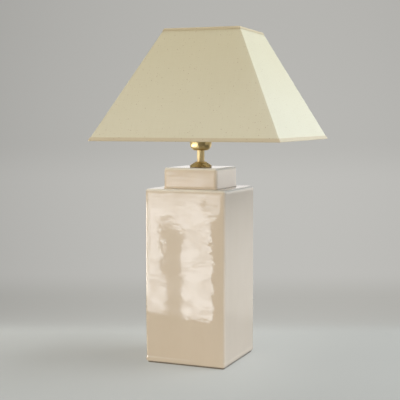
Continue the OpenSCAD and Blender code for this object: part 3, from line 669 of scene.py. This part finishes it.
# %% Moulded and coated finishes
def moulded_finish(name, base, other, roughness, grain, depth, **constants):
    material, tree, shader, place = new_finish(name, base, roughness, **constants)
    patches = use(tree, clouds, {"Vector": place, "Scale": 60.0})["Value"]
    tree.links.new(blend_colours(tree, patches, base, other), shader.inputs["Base Color"])
    rubbed = use(tree, clouds, {"Vector": place, "Scale": 120.0, "Low": roughness * 0.85,
                                "High": min(1.0, roughness * 1.2)})["Value"]
    tree.links.new(rubbed, shader.inputs["Roughness"])
    speck = soft_noise(tree, place, grain, 2.0)
    bumps(tree, shader, speck, depth)
    return material


porcelain = moulded_finish("glazed porcelain", shown(233, 230, 222), shown(225, 221, 211),
                           0.12, 300.0, 0.01)
dark_plastic = moulded_finish("brown plastic", shown(58, 52, 47), shown(66, 59, 53), 0.42, 1400.0, 0.01)
bush_plastic = moulded_finish("natural plastic", shown(217, 211, 196), shown(206, 199, 183),
                              0.48, 1400.0, 0.01)
rubber = moulded_finish("black rubber", shown(40, 40, 41), shown(52, 52, 52), 0.75, 900.0, 0.02)
black_glass = moulded_finish("black bulb glass", shown(24, 24, 26), shown(30, 30, 33), 0.10, 200.0, 0.004)
white_coat = moulded_finish("white powder coat", shown(229, 227, 222), shown(221, 218, 211),
                            0.38, 700.0, 0.02)
filament_coat = moulded_finish("yellow filament coat", shown(236, 196, 72), shown(226, 182, 60),
                               0.5, 1500.0, 0.02)
opal_glass = moulded_finish("opal glass", shown(240, 239, 233), shown(235, 234, 228), 0.16, 160.0, 0.01,
                            Coat_Weight=0.4, Coat_Roughness=0.08)

stem_glass, tree, shader, place = new_finish("clear mount glass", [0.95, 0.97, 0.97], 0.03, IOR=1.5)
shader.inputs["Transmission Weight"].default_value = 1.0
drawn = soft_noise(tree, place, 150.0, 1.0)
tree.links.new(between(tree, drawn, 0.3, 0.7, 0.02, 0.07), shader.inputs["Roughness"])
bumps(tree, shader, drawn, 0.02)

# %% [markdown]
# ## Tools for modelling
#
# Pieces are shaped the way a hand would do it in edit mode: start from a primitive, select faces or
# edges by where they are, then extrude, inset, bevel and move them. An operator works on all that
# is selected, so the selection is cleared before each new piece.

# %% Selection and edit-mode helpers
def clear_selection():
    if bpy.context.object and bpy.context.object.mode != "OBJECT":
        bpy.ops.object.mode_set(mode="OBJECT")
    bpy.ops.object.select_all(action="DESELECT")


def only(piece):
    clear_selection()
    piece.select_set(True)
    bpy.context.view_layer.objects.active = piece


def named(name):
    """Names the primitive that was just added and puts its place into its mesh."""
    piece = bpy.context.object
    piece.name = piece.data.name = name
    bpy.ops.object.transform_apply(location=True, rotation=True, scale=True)
    return piece


def pick(piece, test, kind="FACE"):
    """In edit mode, selects just the faces, edges or corners that pass the test."""
    bpy.ops.mesh.select_mode(type=kind)
    bpy.ops.mesh.select_all(action="DESELECT")
    mesh = bmesh.from_edit_mesh(piece.data)
    group = {"FACE": mesh.faces, "EDGE": mesh.edges, "VERT": mesh.verts}[kind]
    found = [item for item in group if test(item)]
    for item in found:
        item.select_set(True)
    mesh.select_flush_mode()
    bmesh.update_edit_mesh(piece.data)
    return len(found)


def middle(edge):
    return (edge.verts[0].co + edge.verts[1].co) / 2


def apply_modifier(piece, kind, **settings):
    modifier = piece.modifiers.new(kind.title(), kind)
    for name, value in settings.items():
        setattr(modifier, name, value)
    only(piece)
    bpy.ops.object.modifier_apply(modifier=modifier.name)
    return piece


def soften(piece, width_mm, segments=2, angle=35):
    """Rounds every sharp edge a little, so that it catches light as a real one does."""
    return apply_modifier(piece, "BEVEL", width=width_mm * MM, segments=segments,
                          limit_method="ANGLE", angle_limit=math.radians(angle))


def shade_smooth(piece, angle=35):
    only(piece)
    bpy.ops.object.shade_smooth_by_angle(angle=math.radians(angle))


def cut_across(piece, axis, places):
    """Cuts the whole mesh along planes square to one axis. The places are in metres."""
    normal = [0, 0, 0]
    normal["xyz".index(axis)] = 1
    for at in places:
        bpy.ops.mesh.select_all(action="SELECT")
        spot = [at * n for n in normal]
        bpy.ops.mesh.bisect(plane_co=spot, plane_no=normal)


record = frame["record"]
body_of = {node: body for body, members in record["behaviour"]["bodies"].items() for node in members}
slot_of = {part["node"]: part["material_slot"] for part in record["subparts"]}


def stands_for(piece, *solids):
    """The piece takes the solids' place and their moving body."""
    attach(piece, body_of[solids[0]])
    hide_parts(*solids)
    triangles = sum(len(face.vertices) - 2 for face in piece.data.polygons)
    print(f"{piece.name}: {triangles} triangles, stands for {', '.join(solids)}")
    return piece


# %% [markdown]
# ## The ceramic body
#
# The body is one casting: a square block with a smaller square neck, hollow inside. It could be
# boxes cut out of boxes, but real glaze flows over one skin. So a single cube is extruded into the
# neck, then inward through its foot into the hollow, and a smooth subdivision rounds the result.
# The faces aren't dead flat. They fall away a little before each edge, and they roll gently, which
# bends everything they mirror. A small fillet at the foot of the neck is where glaze pools, and a
# low bead stands where it ran down to the foot.

# %% Block and neck
body_half, body_low, shoulder, neck_half, neck_top = 77.5, 2, 316.5, 52, 354
wall_thick, roof_hole, floor_hole = 8, 8, 6


def extrude_up(rise_mm):
    bpy.ops.mesh.extrude_region_move(TRANSFORM_OT_translate={"value": (0, 0, rise_mm * MM)})


def extrude_wider(from_half, to_half):
    """Extrudes the face in its own plane, to a new half width."""
    extrude_up(0)
    k = to_half / from_half
    bpy.ops.transform.resize(value=(k, k, 1), center_override=(0, 0, 0))


clear_selection()
bpy.ops.mesh.primitive_cube_add(size=1, location=(0, 0, (body_low + shoulder) / 2 * MM),
                                scale=(2 * body_half * MM, 2 * body_half * MM, (shoulder - body_low) * MM))
body = named("glazed_body")
bpy.ops.object.mode_set(mode="EDIT")
pick(body, lambda f: f.normal.z > 0.9)
bpy.ops.mesh.inset(thickness=(body_half - neck_half) * MM, depth=0)
extrude_up(neck_top - shoulder)
bpy.ops.mesh.inset(thickness=(neck_half - roof_hole) * MM, depth=0)
bpy.ops.mesh.delete(type="FACE")

# %% Foot, hollow and roof hole
foot_width, foot_height = 11, 11.8
floor_top = body_low + foot_height + wall_thick
room_half, room_top = body_half - wall_thick, shoulder - wall_thick
neck_room_half, neck_room_top = neck_half - wall_thick, neck_top - wall_thick

pick(body, lambda f: f.normal.z < -0.9)
bpy.ops.mesh.inset(thickness=foot_width * MM, depth=0)
extrude_up(foot_height)
bpy.ops.mesh.inset(thickness=(body_half - foot_width - floor_hole) * MM, depth=0)
extrude_up(wall_thick)
extrude_wider(floor_hole, room_half)
extrude_up(room_top - floor_top)
extrude_wider(room_half, neck_room_half)
extrude_up(neck_room_top - room_top)
extrude_wider(neck_room_half, roof_hole)
bpy.ops.mesh.delete(type="FACE")
bpy.ops.mesh.select_mode(type="EDGE")
bpy.ops.mesh.select_all(action="DESELECT")
bpy.ops.mesh.select_non_manifold()
bpy.ops.mesh.bridge_edge_loops()


# %% Round edges, fillet and finer faces
def is_corner(vert, half):
    return abs(abs(vert.co.x) - half * MM) < 1e-5 and abs(abs(vert.co.y) - half * MM) < 1e-5


def outer_edge(edge):
    ends = edge.verts
    if all(is_corner(v, body_half) for v in ends):
        return True
    on_neck = all(is_corner(v, neck_half) for v in ends)
    return on_neck and max(v.co.z for v in ends) > (shoulder + 1) * MM


def foot_of_neck(edge):
    level = all(abs(v.co.z - shoulder * MM) < 1e-5 for v in edge.verts)
    at = middle(edge)
    return level and max(abs(at.x), abs(at.y)) < (neck_half + 0.1) * MM


edge_round, neck_fillet = 4.4, 1.6
print("outer edges:", pick(body, outer_edge, "EDGE"))
bpy.ops.mesh.bevel(offset=edge_round * MM, segments=4, affect="EDGES")
print("edges at the neck's foot:", pick(body, foot_of_neck, "EDGE"))
bpy.ops.mesh.bevel(offset=neck_fillet * MM, segments=3, affect="EDGES")

sides = [s * n * MM for n in (7, 19, 31, 41, 59, 66) for s in (-1, 1)]
cut_across(body, "x", sides)
cut_across(body, "y", sides)
heights = [9, 10.5, 12, 13.5, 15, 18, 29, 43, 60] + list(range(80, 261, 20)) + [278, 292, 302, 307]
heights += [322, 330, 338, 345]
cut_across(body, "z", [h * MM for h in heights])
bpy.ops.object.mode_set(mode="OBJECT")
print("cage faces:", len(body.data.polygons))

# %% Let the faces fall away and roll
fall, roll, bead = 0.10 * MM, 0.22 * MM, 0.85 * MM
edge_band, top_band, face_depth = 17, 16, 5
bead_top, bead_fades_from, bead_fades_over = 9.5, 25, 60


def ramp(value, start, over):
    """0 up to the start, rising evenly to 1 over a stretch."""
    return max(0.0, min(1.0, (value - start) / over))


def fall_away(reach_mm, half_mm, near_top):
    """0 on the flat of a face, rising to the full fall before its rounded edge begins."""
    return fall * max(ramp(reach_mm, half_mm - edge_band, 11) ** 2, near_top)


for vert in body.data.vertices:
    x, y, z = (c / MM for c in vert.co)
    in_neck = z > shoulder + 1
    half, top = (neck_half, neck_top) if in_neck else (body_half, shoulder)
    if max(abs(x), abs(y)) < half - face_depth:
        continue
    near_top = 0.4 * ramp(z, top - top_band, 10) ** 2
    above_bead = bead * ramp(z, bead_top, 3) * (1 - ramp(z, bead_fades_from, bead_fades_over))
    above_bead *= 0.65 - 0.35 * math.tanh(x / 25)
    wave = noise.noise(Vector((x, y, z)) / 58) + 0.4 * noise.noise(Vector((y, z, x)) / 31)
    rolled = roll * (0.5 + 0.5 * wave) + above_bead
    if abs(x) > half - face_depth:
        vert.co.x -= math.copysign(fall_away(abs(y), half, near_top) + rolled, x)
    if abs(y) > half - face_depth:
        vert.co.y -= math.copysign(fall_away(abs(x), half, near_top) + rolled, y)

apply_modifier(body, "SUBSURF", levels=2, render_levels=2)
shade_smooth(body, 60)
body.data.materials.clear()
body.data.materials.append(glaze)
stands_for(body, "ceramic_body")

# %% [markdown]
# ## The felt pad
#
# A square of pressed felt is glued under the foot. It is a thin soft sheet, so its cut edges are
# rounded and slightly ragged, while its underside stays level on the table.

# %% Felt sheet
pad_half, pad_thick = body_half - 3, body_low
clear_selection()
bpy.ops.mesh.primitive_cube_add(size=1, location=(0, 0, pad_thick / 2 * MM),
                                scale=(2 * pad_half * MM, 2 * pad_half * MM, pad_thick * MM))
pad = named("felt_pad")
bpy.ops.object.mode_set(mode="EDIT")
pick(pad, lambda e: abs(e.verts[0].co.z - e.verts[1].co.z) > 1e-4, "EDGE")
bpy.ops.mesh.bevel(offset=4 * MM, segments=5, affect="EDGES")
for axis in "xy":
    cut_across(pad, axis, [n * 6 * MM for n in range(-11, 12)])
bpy.ops.object.mode_set(mode="OBJECT")
soften(pad, 0.5, 2, 60)
for vert in pad.data.vertices:
    edge = max(abs(vert.co.x), abs(vert.co.y)) > (pad_half - 1) * MM
    if edge or vert.co.z > 1.9 * MM:
        ragged = noise.noise(vert.co * 260)
        vert.co.x -= math.copysign(0.18 * MM * abs(ragged), vert.co.x) if edge else 0
        vert.co.z -= 0.06 * MM * abs(ragged) if vert.co.z > 1.9 * MM else 0
shade_smooth(pad, 50)
pad.data.materials.append(felt)
stands_for(pad, "base_felt")

# %% [markdown]
# ## Turned parts
#
# Cap, neck tube, cup, rings and glass are all round about the stem. A lathe shape could be spun
# from a profile. Here it grows like clay on a wheel: a circle is extruded from point to point of
# its outline, and each new ring of edges is scaled to its radius. The same tool with four sides
# makes the square shade.

# %% The wheel
def turned(name, outline, sides=96, closed=True, twist=0.0):
    """Grows a round piece from an outline of (radius, height) pairs in millimetres."""
    clear_selection()
    radius, height = outline[0]
    bpy.ops.mesh.primitive_circle_add(vertices=sides, radius=radius * MM, location=(0, 0, height * MM),
                                      rotation=(0, 0, twist))
    piece = named(name)
    bpy.ops.object.mode_set(mode="EDIT")
    bpy.ops.mesh.select_mode(type="EDGE")
    bpy.ops.mesh.select_all(action="SELECT")
    for next_radius, next_height in outline[1:]:
        extrude_up(next_height - height)
        if next_radius == 0:
            bpy.ops.mesh.merge(type="CENTER")
            break
        k = next_radius / radius
        bpy.ops.transform.resize(value=(k, k, 1), center_override=(0, 0, next_height * MM))
        radius, height = next_radius, next_height
    if closed:
        bpy.ops.mesh.select_all(action="DESELECT")
        bpy.ops.mesh.select_non_manifold()
        bpy.ops.mesh.bridge_edge_loops()
    bpy.ops.mesh.select_all(action="SELECT")
    bpy.ops.mesh.normals_make_consistent(inside=False)
    bpy.ops.object.mode_set(mode="OBJECT")
    return piece


def bow(cx, cz, rx, rz, start, end, steps):
    """Points along part of an ellipse, in degrees."""
    turns = [math.radians(start + (end - start) * i / steps) for i in range(steps + 1)]
    return [(cx + rx * math.cos(a), cz + rz * math.sin(a)) for a in turns]


def dress(piece, finish, *solids, angle=35):
    shade_smooth(piece, angle)
    piece.data.materials.clear()
    piece.data.materials.append(finish)
    return stands_for(piece, *solids)


# %% Vase cap
stem_hole = 5.1
cap_r, rim_h, cap_h, cap_steps = 20.5, 3.5, 10, 3
low_r, top_r = cap_r - rim_h / 2 - 0.6, 8.15
run, rise = (low_r - top_r) / cap_steps, (cap_h - rim_h) / cap_steps
outline = [(stem_hole, 2.5), (14, 2.5), (14, 0)]
outline += bow(cap_r - rim_h / 2, rim_h / 2, rim_h / 2, rim_h / 2, -90, 90, 10)
for step in range(cap_steps):
    r, z = low_r - run * step, rim_h + rise * step
    outline += [(r, z), (r, z + 0.35 * rise)]
    outline += bow(r - 0.7 * run, z + 0.45 * rise, 0.65 * run, 0.45 * rise, 0, 80, 4)
outline += [(top_r, cap_h), (stem_hole, cap_h)]
vase_cap = turned("turned_vase_cap", [(r, neck_top + z) for r, z in outline])
dress(soften(vase_cap, 0.15), darkened_brass, "vase_cap")

# %% Neck tube
tube_low, tube_high, tube_r = neck_top + cap_h, 384.5, 6.75
outline = [(stem_hole, tube_low), (tube_r - 0.1, tube_low), (tube_r, tube_low + 0.6),
           (tube_r, tube_high - 0.6), (tube_r - 0.1, tube_high), (stem_hole, tube_high)]
neck_tube = turned("polished_neck_tube", outline, 64)
dress(soften(neck_tube, 0.12), tube_brass, "neck_tube")

# %% Cup of the lampholder
cup_low, cup_high, cup_r, cup_skin = tube_high, tube_high + 27, 20, 1.2
arc_in, arc_up = 10, 12.7
outline = [(stem_hole, cup_low)]
outline += bow(cup_r - arc_in, cup_low + arc_up, arc_in, arc_up, -90, 0, 16)
for out, below in ((0, 4.4), (-0.3, 4.1), (-0.3, 3.5), (0, 3.2)):
    outline.append((cup_r + out, cup_high - below))
outline += [(cup_r, cup_high),
            (cup_r - cup_skin, cup_high)]
outline += bow(cup_r - arc_in, cup_low + arc_up, arc_in - cup_skin, arc_up - cup_skin, 0, -90, 16)
outline += [(8.1, cup_low + cup_skin), (8.1, cup_low + 10), (stem_hole, cup_low + 10)]
cup = turned("spun_cup", outline)
dress(soften(cup, 0.2), satin_brass, "holder_cap")


# %% [markdown]
# ## Threads
#
# A thread is a ridge that climbs as it goes round. It could be swept along a helix, but its ends are
# then hard to close. Instead the plain tube is grown with many close rings, and each corner moves
# inward as far as its angle and height say. The groove fades at both ends, as in a cut thread.

# %% Thread tool
def close_rings(radius, low, high, step):
    count = max(2, round(abs(high - low) / step))
    return [(radius, low + (high - low) * i / count) for i in range(count + 1)]


def cut_thread(piece, low, high, pitch, depth, r_from, r_to):
    """Moves the corners between two heights and radii inward along a climbing groove."""
    for vert in piece.data.vertices:
        radius = math.hypot(vert.co.x, vert.co.y) / MM
        z = vert.co.z / MM
        if not (r_from <= radius <= r_to and low < z < high):
            continue
        turn = math.atan2(vert.co.y, vert.co.x) / math.tau
        fade = min(1.0, (z - low) / pitch, (high - z) / pitch)
        groove = 0.5 - 0.5 * math.cos(math.tau * (z / pitch - turn))
        k = 1 - depth * fade * groove / radius
        vert.co.x *= k
        vert.co.y *= k


# %% Threaded skirt
skirt_seat, skirt_top, lip = cup_high - 6, cup_high + 34, 1.2
outline = [(17.2, skirt_seat), (18.5, skirt_seat), (18.5, cup_high), (19.7, cup_high)]
outline += close_rings(19.7, cup_high + 1, skirt_top - 1, 0.5)
outline += [(19.7, skirt_top), (15.9, skirt_top), (15.9, skirt_top - lip), (18.4, skirt_top - lip),
            (18.4, cup_high + 2), (17.2, cup_high + 2)]
skirt = turned("threaded_skirt", outline)
cut_thread(skirt, cup_high + 1.4, skirt_top - 1.4, 2.5, 0.5, 19.6, 19.8)
dress(skirt, satin_brass, "holder_skirt", angle=50)


# %% Shade rings
def ring_outline(hole, hub):
    return [(hole, 0), (25, 0), (25, 1.5), (hub, 1.5), (hub, 5.7), (hole, 5.7)]


def notch_rim(piece, count, depth_mm):
    for vert in piece.data.vertices:
        radius = math.hypot(vert.co.x, vert.co.y) / MM
        if radius > 24:
            swing = math.cos(count * math.atan2(vert.co.y, vert.co.x))
            k = 1 - depth_mm * max(0.0, (swing - 0.55) / 0.45) / radius
            vert.co.x *= k
            vert.co.y *= k


lower_at, upper_at = cup_high + 16.7, cup_high + 18.8
lower_ring = turned("lower_ring", [(r, lower_at - z) for r, z in ring_outline(19.8, 21.1)], 144)
upper_ring = turned("upper_ring", [(r, upper_at + z) for r, z in ring_outline(20.0, 21.3)], 144)
for ring, solid in ((lower_ring, "lower_shade_ring"), (upper_ring, "upper_shade_ring")):
    notch_rim(ring, 12, 0.9)
    dress(soften(ring, 0.25), satin_brass, solid)

# %% Screw shell and the bulb's cap
bulb_pitch = 3.629
shell_low, shell_high = cup_high - 3, cup_high + 29
outline = close_rings(13.6, shell_low, shell_high, 0.7) + close_rings(14.1, shell_high, shell_low, 0.7)
shell = turned("rolled_screw_shell", outline, 72)
cut_thread(shell, shell_low + 0.5, shell_high - 0.5, bulb_pitch, 0.32, 13.5, 14.2)
dress(shell, inner_brass, "screw_shell", angle=60)

cap_top = cup_high + 31.3
outline = [(12.4, cap_top), (12.9, cap_top - 0.5)]
outline += close_rings(12.9, cap_top - 1.1, cap_top - 19.3, 0.55)
outline += [(12.7, cap_top - 20.1), (11.0, cap_top - 22), (0, cap_top - 22)]
bulb_cap = turned("rolled_bulb_cap", outline, 72, closed=False)
cut_thread(bulb_cap, cap_top - 19.1, cap_top - 1.5, bulb_pitch, 0.42, 12.8, 13.0)
apply_modifier(bulb_cap, "SOLIDIFY", thickness=0.4 * MM, offset=-1)
dress(bulb_cap, rolled_cap, "bulb_cap", angle=60)

# %% Candle glass
glass_low, glass_h, neck_r, belly_r, belly = cap_top, 72, 12.2, 17.5, 0.38


def candle_radius(share):
    if share < belly:
        return neck_r + (belly_r - neck_r) * (1 - math.cos(math.pi * share / belly)) / 2
    return belly_r * math.cos(math.pi / 2 * (share - belly) / (1 - belly)) ** 0.9


climb = [1 - (1 - i / 40) ** 1.25 for i in range(40)]
outline = [(neck_r, cap_top - 7.9)] + [(candle_radius(u), glass_low + u * glass_h) for u in climb]
outline += [(0, glass_low + glass_h)]
glass = turned("candle_glass", outline, 72, closed=False)
apply_modifier(glass, "SOLIDIFY", thickness=0.8 * MM, offset=-1)
dress(glass, opal_glass, "bulb_glass", angle=70)

# %% [markdown]
# ## Cord bush
#
# The bush that lines the cord hole in the back wall is the same kind of turned piece, laid on its
# side. It grows upright at the origin, then one turn and one move put it in the wall.

# %% Bush in the back wall
bush_outer_face, bush_height = body_half + 2.5, 35.8
outline = [(3.25, 0.6), (3.7, 0)] + bow(6.6, 1.4, 1.4, 1.4, -90, 0, 4) + [(8, 2.5), (5, 2.5)]
outline += close_rings(5, 2.9, 14, 0.45) + [(5, 14.5), (3.25, 14.5)]
bush = turned("inlet_bush", outline, 64)
cut_thread(bush, 2.6, 14.2, 1.5, 0.35, 4.9, 5.05)
only(bush)
bush.rotation_euler = (math.pi / 2, 0, 0)
bush.location = (0, bush_outer_face * MM, bush_height * MM)
bpy.ops.object.transform_apply(location=True, rotation=True, scale=True)
dress(bush, dark_plastic, "cord_bushing", angle=50)

# %% [markdown]
# ## The cloth shade
#
# Real cloth on such a shade is one laminated sheet, wrapped round four sides and turned over at its
# edges. Flat panels would meet in hard lines with no fold. So the wheel grows it with four sides,
# outer face first and back down inside, and the corner edges get a small soft bevel. It hangs a
# little off the stem, so it is built straight and then turned and moved as one.

# %% Where the shade hangs
shade_half, shade_high, shade_top_half = 172, 199.4, 70.3
slope = (shade_half - shade_top_half) / shade_high
slant = math.hypot(1, slope)
shade_right, shade_forward, shade_low, shade_twist = 29.6, 5.7, 404.1, 2.3
hang_place = Matrix.Translation((shade_right * MM, -shade_forward * MM, shade_low * MM))
hang = hang_place @ Matrix.Rotation(math.radians(shade_twist), 4, "Z")


def half_at(height, out=0.0):
    """Half width of the shade at a height, a distance out from the cloth's outer face."""
    return shade_half - slope * height + out * slant


def square_turned(name, outline):
    """Grows a square piece from (distance out, height) pairs."""
    rings = [(half_at(z, out) * math.sqrt(2), z) for out, z in outline]
    return turned(name, rings, 4, twist=math.pi / 4)


def fold_edge(edge):
    """True for the edges that run up a corner."""
    one, other = (vert.co for vert in edge.verts)
    on_diagonal = all(abs(abs(co.x) - abs(co.y)) < 1e-5 for co in (one, other))
    apart = abs(one.x - other.x) + abs(one.z - other.z) > 1e-6
    return on_diagonal and apart and one.x * other.x > 0 and one.y * other.y > 0


def lay_out(piece):
    """Gives the cloth a UV map in metres: along the side, and up its slant."""
    layer = piece.data.uv_layers.new(name="UVMap") if "UVMap" not in piece.data.uv_layers \
        else piece.data.uv_layers["UVMap"]
    for face in piece.data.polygons:
        across_x = abs(face.center.x) < abs(face.center.y)
        side = (0 if across_x else 1) + (0 if face.center.x + face.center.y > 0 else 2)
        for loop in face.loop_indices:
            at = piece.data.vertices[piece.data.loops[loop].vertex_index].co
            layer.data[loop].uv = ((at.x if across_x else at.y) + side * 0.5, at.z * slant)


def push_in(vert, depth):
    """Moves a corner inward, square to the side of the shade that it is on."""
    if abs(vert.co.x) > abs(vert.co.y):
        vert.co.x -= math.copysign(depth, vert.co.x)
    else:
        vert.co.y -= math.copysign(depth, vert.co.y)


# %% Wrap the cloth
cloth_low, cloth_high, cloth_thick = 0.55, 198.85, 1.0
rows = [cloth_low + (cloth_high - cloth_low) * i / 12 for i in range(13)]
cloth = square_turned("wrapped_cloth", [(0, z) for z in rows] + [(-cloth_thick, z) for z in reversed(rows)])
bpy.ops.object.mode_set(mode="EDIT")
print("fold edges:", pick(cloth, fold_edge, "EDGE"))
bpy.ops.mesh.bevel(offset=1.0 * MM, segments=3, affect="EDGES")
for axis in "xy":
    cut_across(cloth, axis, [n * 24 * MM for n in range(-6, 7)])
bpy.ops.object.mode_set(mode="OBJECT")

# %% Let the cloth give a little, and line it
def cloth_give(at):
    """How far the stretched cloth sinks between its corners and hems."""
    height = at.z / MM
    half = half_at(height) * MM
    side = min(abs(at.x), abs(at.y)) / half
    mask = max(0.0, 1 - side ** 2) * max(0.0, math.sin(math.pi * height / shade_high)) ** 0.6
    return mask * (0.55 * MM + 0.35 * MM * noise.noise(at * 11))


for vert in cloth.data.vertices:
    push_in(vert, cloth_give(vert.co))
lay_out(cloth)
cloth.data.materials.append(shade_cloth)
cloth.data.materials.append(lining)
for face in cloth.data.polygons:
    outward = Vector((face.center.x, face.center.y, 0)).dot(face.normal) > 0
    face.material_index = 0 if outward else 1
cloth.data.transform(hang)
shade_smooth(cloth, 30)
stands_for(cloth, "shade_panel_front", "shade_panel_right", "shade_panel_back", "shade_panel_left")


# %% [markdown]
# ## Rolled hems
#
# At both edges a tape of the same cloth is folded over the panel and the frame wire. It stands half
# a millimetre proud outside, with a soft roll at the edge itself. Its section is a U, grown with
# the four-sided wheel.

# %% Two hems
hem_skin, hem_in, hem_tall, hem_lap = 0.5, 4.79, 5.0, 1.5


def hem_section(lap):
    """The U of a hem as (distance out, height) pairs. Its outer leg stands a lap higher."""
    return [(0.55, hem_tall + lap), (0.6, 3.4), (0.6, 1.2), (0.45, 0.55), (0.1, 0.12), (-0.6, 0), (-4.2, 0),
            (-4.9, 0.15), (-5.25, 0.6), (-5.29, 1.2), (-5.29, hem_tall),
            (-hem_in, hem_tall), (-hem_in, 1.2), (-4.6, 0.7), (-4.2, hem_skin), (-0.6, hem_skin),
            (-0.1, 0.7), (0.05, 1.2), (0.05, hem_tall + lap)]


def fold_hem(name, flip, solid):
    outline = [(out, shade_high - z if flip else z) for out, z in hem_section(0 if flip else hem_lap)]
    hem = square_turned(name, outline)
    bpy.ops.object.mode_set(mode="EDIT")
    pick(hem, fold_edge, "EDGE")
    bpy.ops.mesh.bevel(offset=1.1 * MM, segments=3, affect="EDGES")
    for axis in "xy":
        cut_across(hem, axis, [n * 15 * MM for n in range(-11, 12)])
    bpy.ops.object.mode_set(mode="OBJECT")
    for vert in hem.data.vertices:
        push_in(vert, 0.22 * MM * noise.noise(vert.co * 38))
    lay_out(hem)
    hem.data.transform(hang)
    return dress(hem, hem_cloth, solid, angle=50)


bottom_hem = fold_hem("bottom_hem", False, "bottom_trim")
top_hem = fold_hem("top_hem", True, "top_trim")

# %% [markdown]
# ## Finishes on the solids that stay
#
# The wires, washers, contacts and porcelain already have their right shapes. Each keeps its mesh
# and takes the finish that its slot in the record asks for.

# %% Hand out the finishes
finish_of = {
    "felt": felt, "glaze": glaze, "bushing_plastic": dark_plastic, "zinc_steel": zinc_steel,
    "brass_inner": inner_brass, "rubber": rubber, "bush_plastic": bush_plastic, "satin_brass": satin_brass,
    "porcelain": porcelain, "solder": solder, "bulb_black": black_glass, "bulb_metal": rolled_cap,
    "bulb_glass": opal_glass, "bulb_stem_glass": stem_glass, "filament": filament_coat,
    "shade_cloth": shade_cloth, "hem_cloth": hem_cloth, "frame_wire": white_coat,
}
for name, solid in frame["nodes"].items():
    for place in solid.material_slots:
        place.material = finish_of[slot_of[name]]
print("finishes:", len(finish_of))
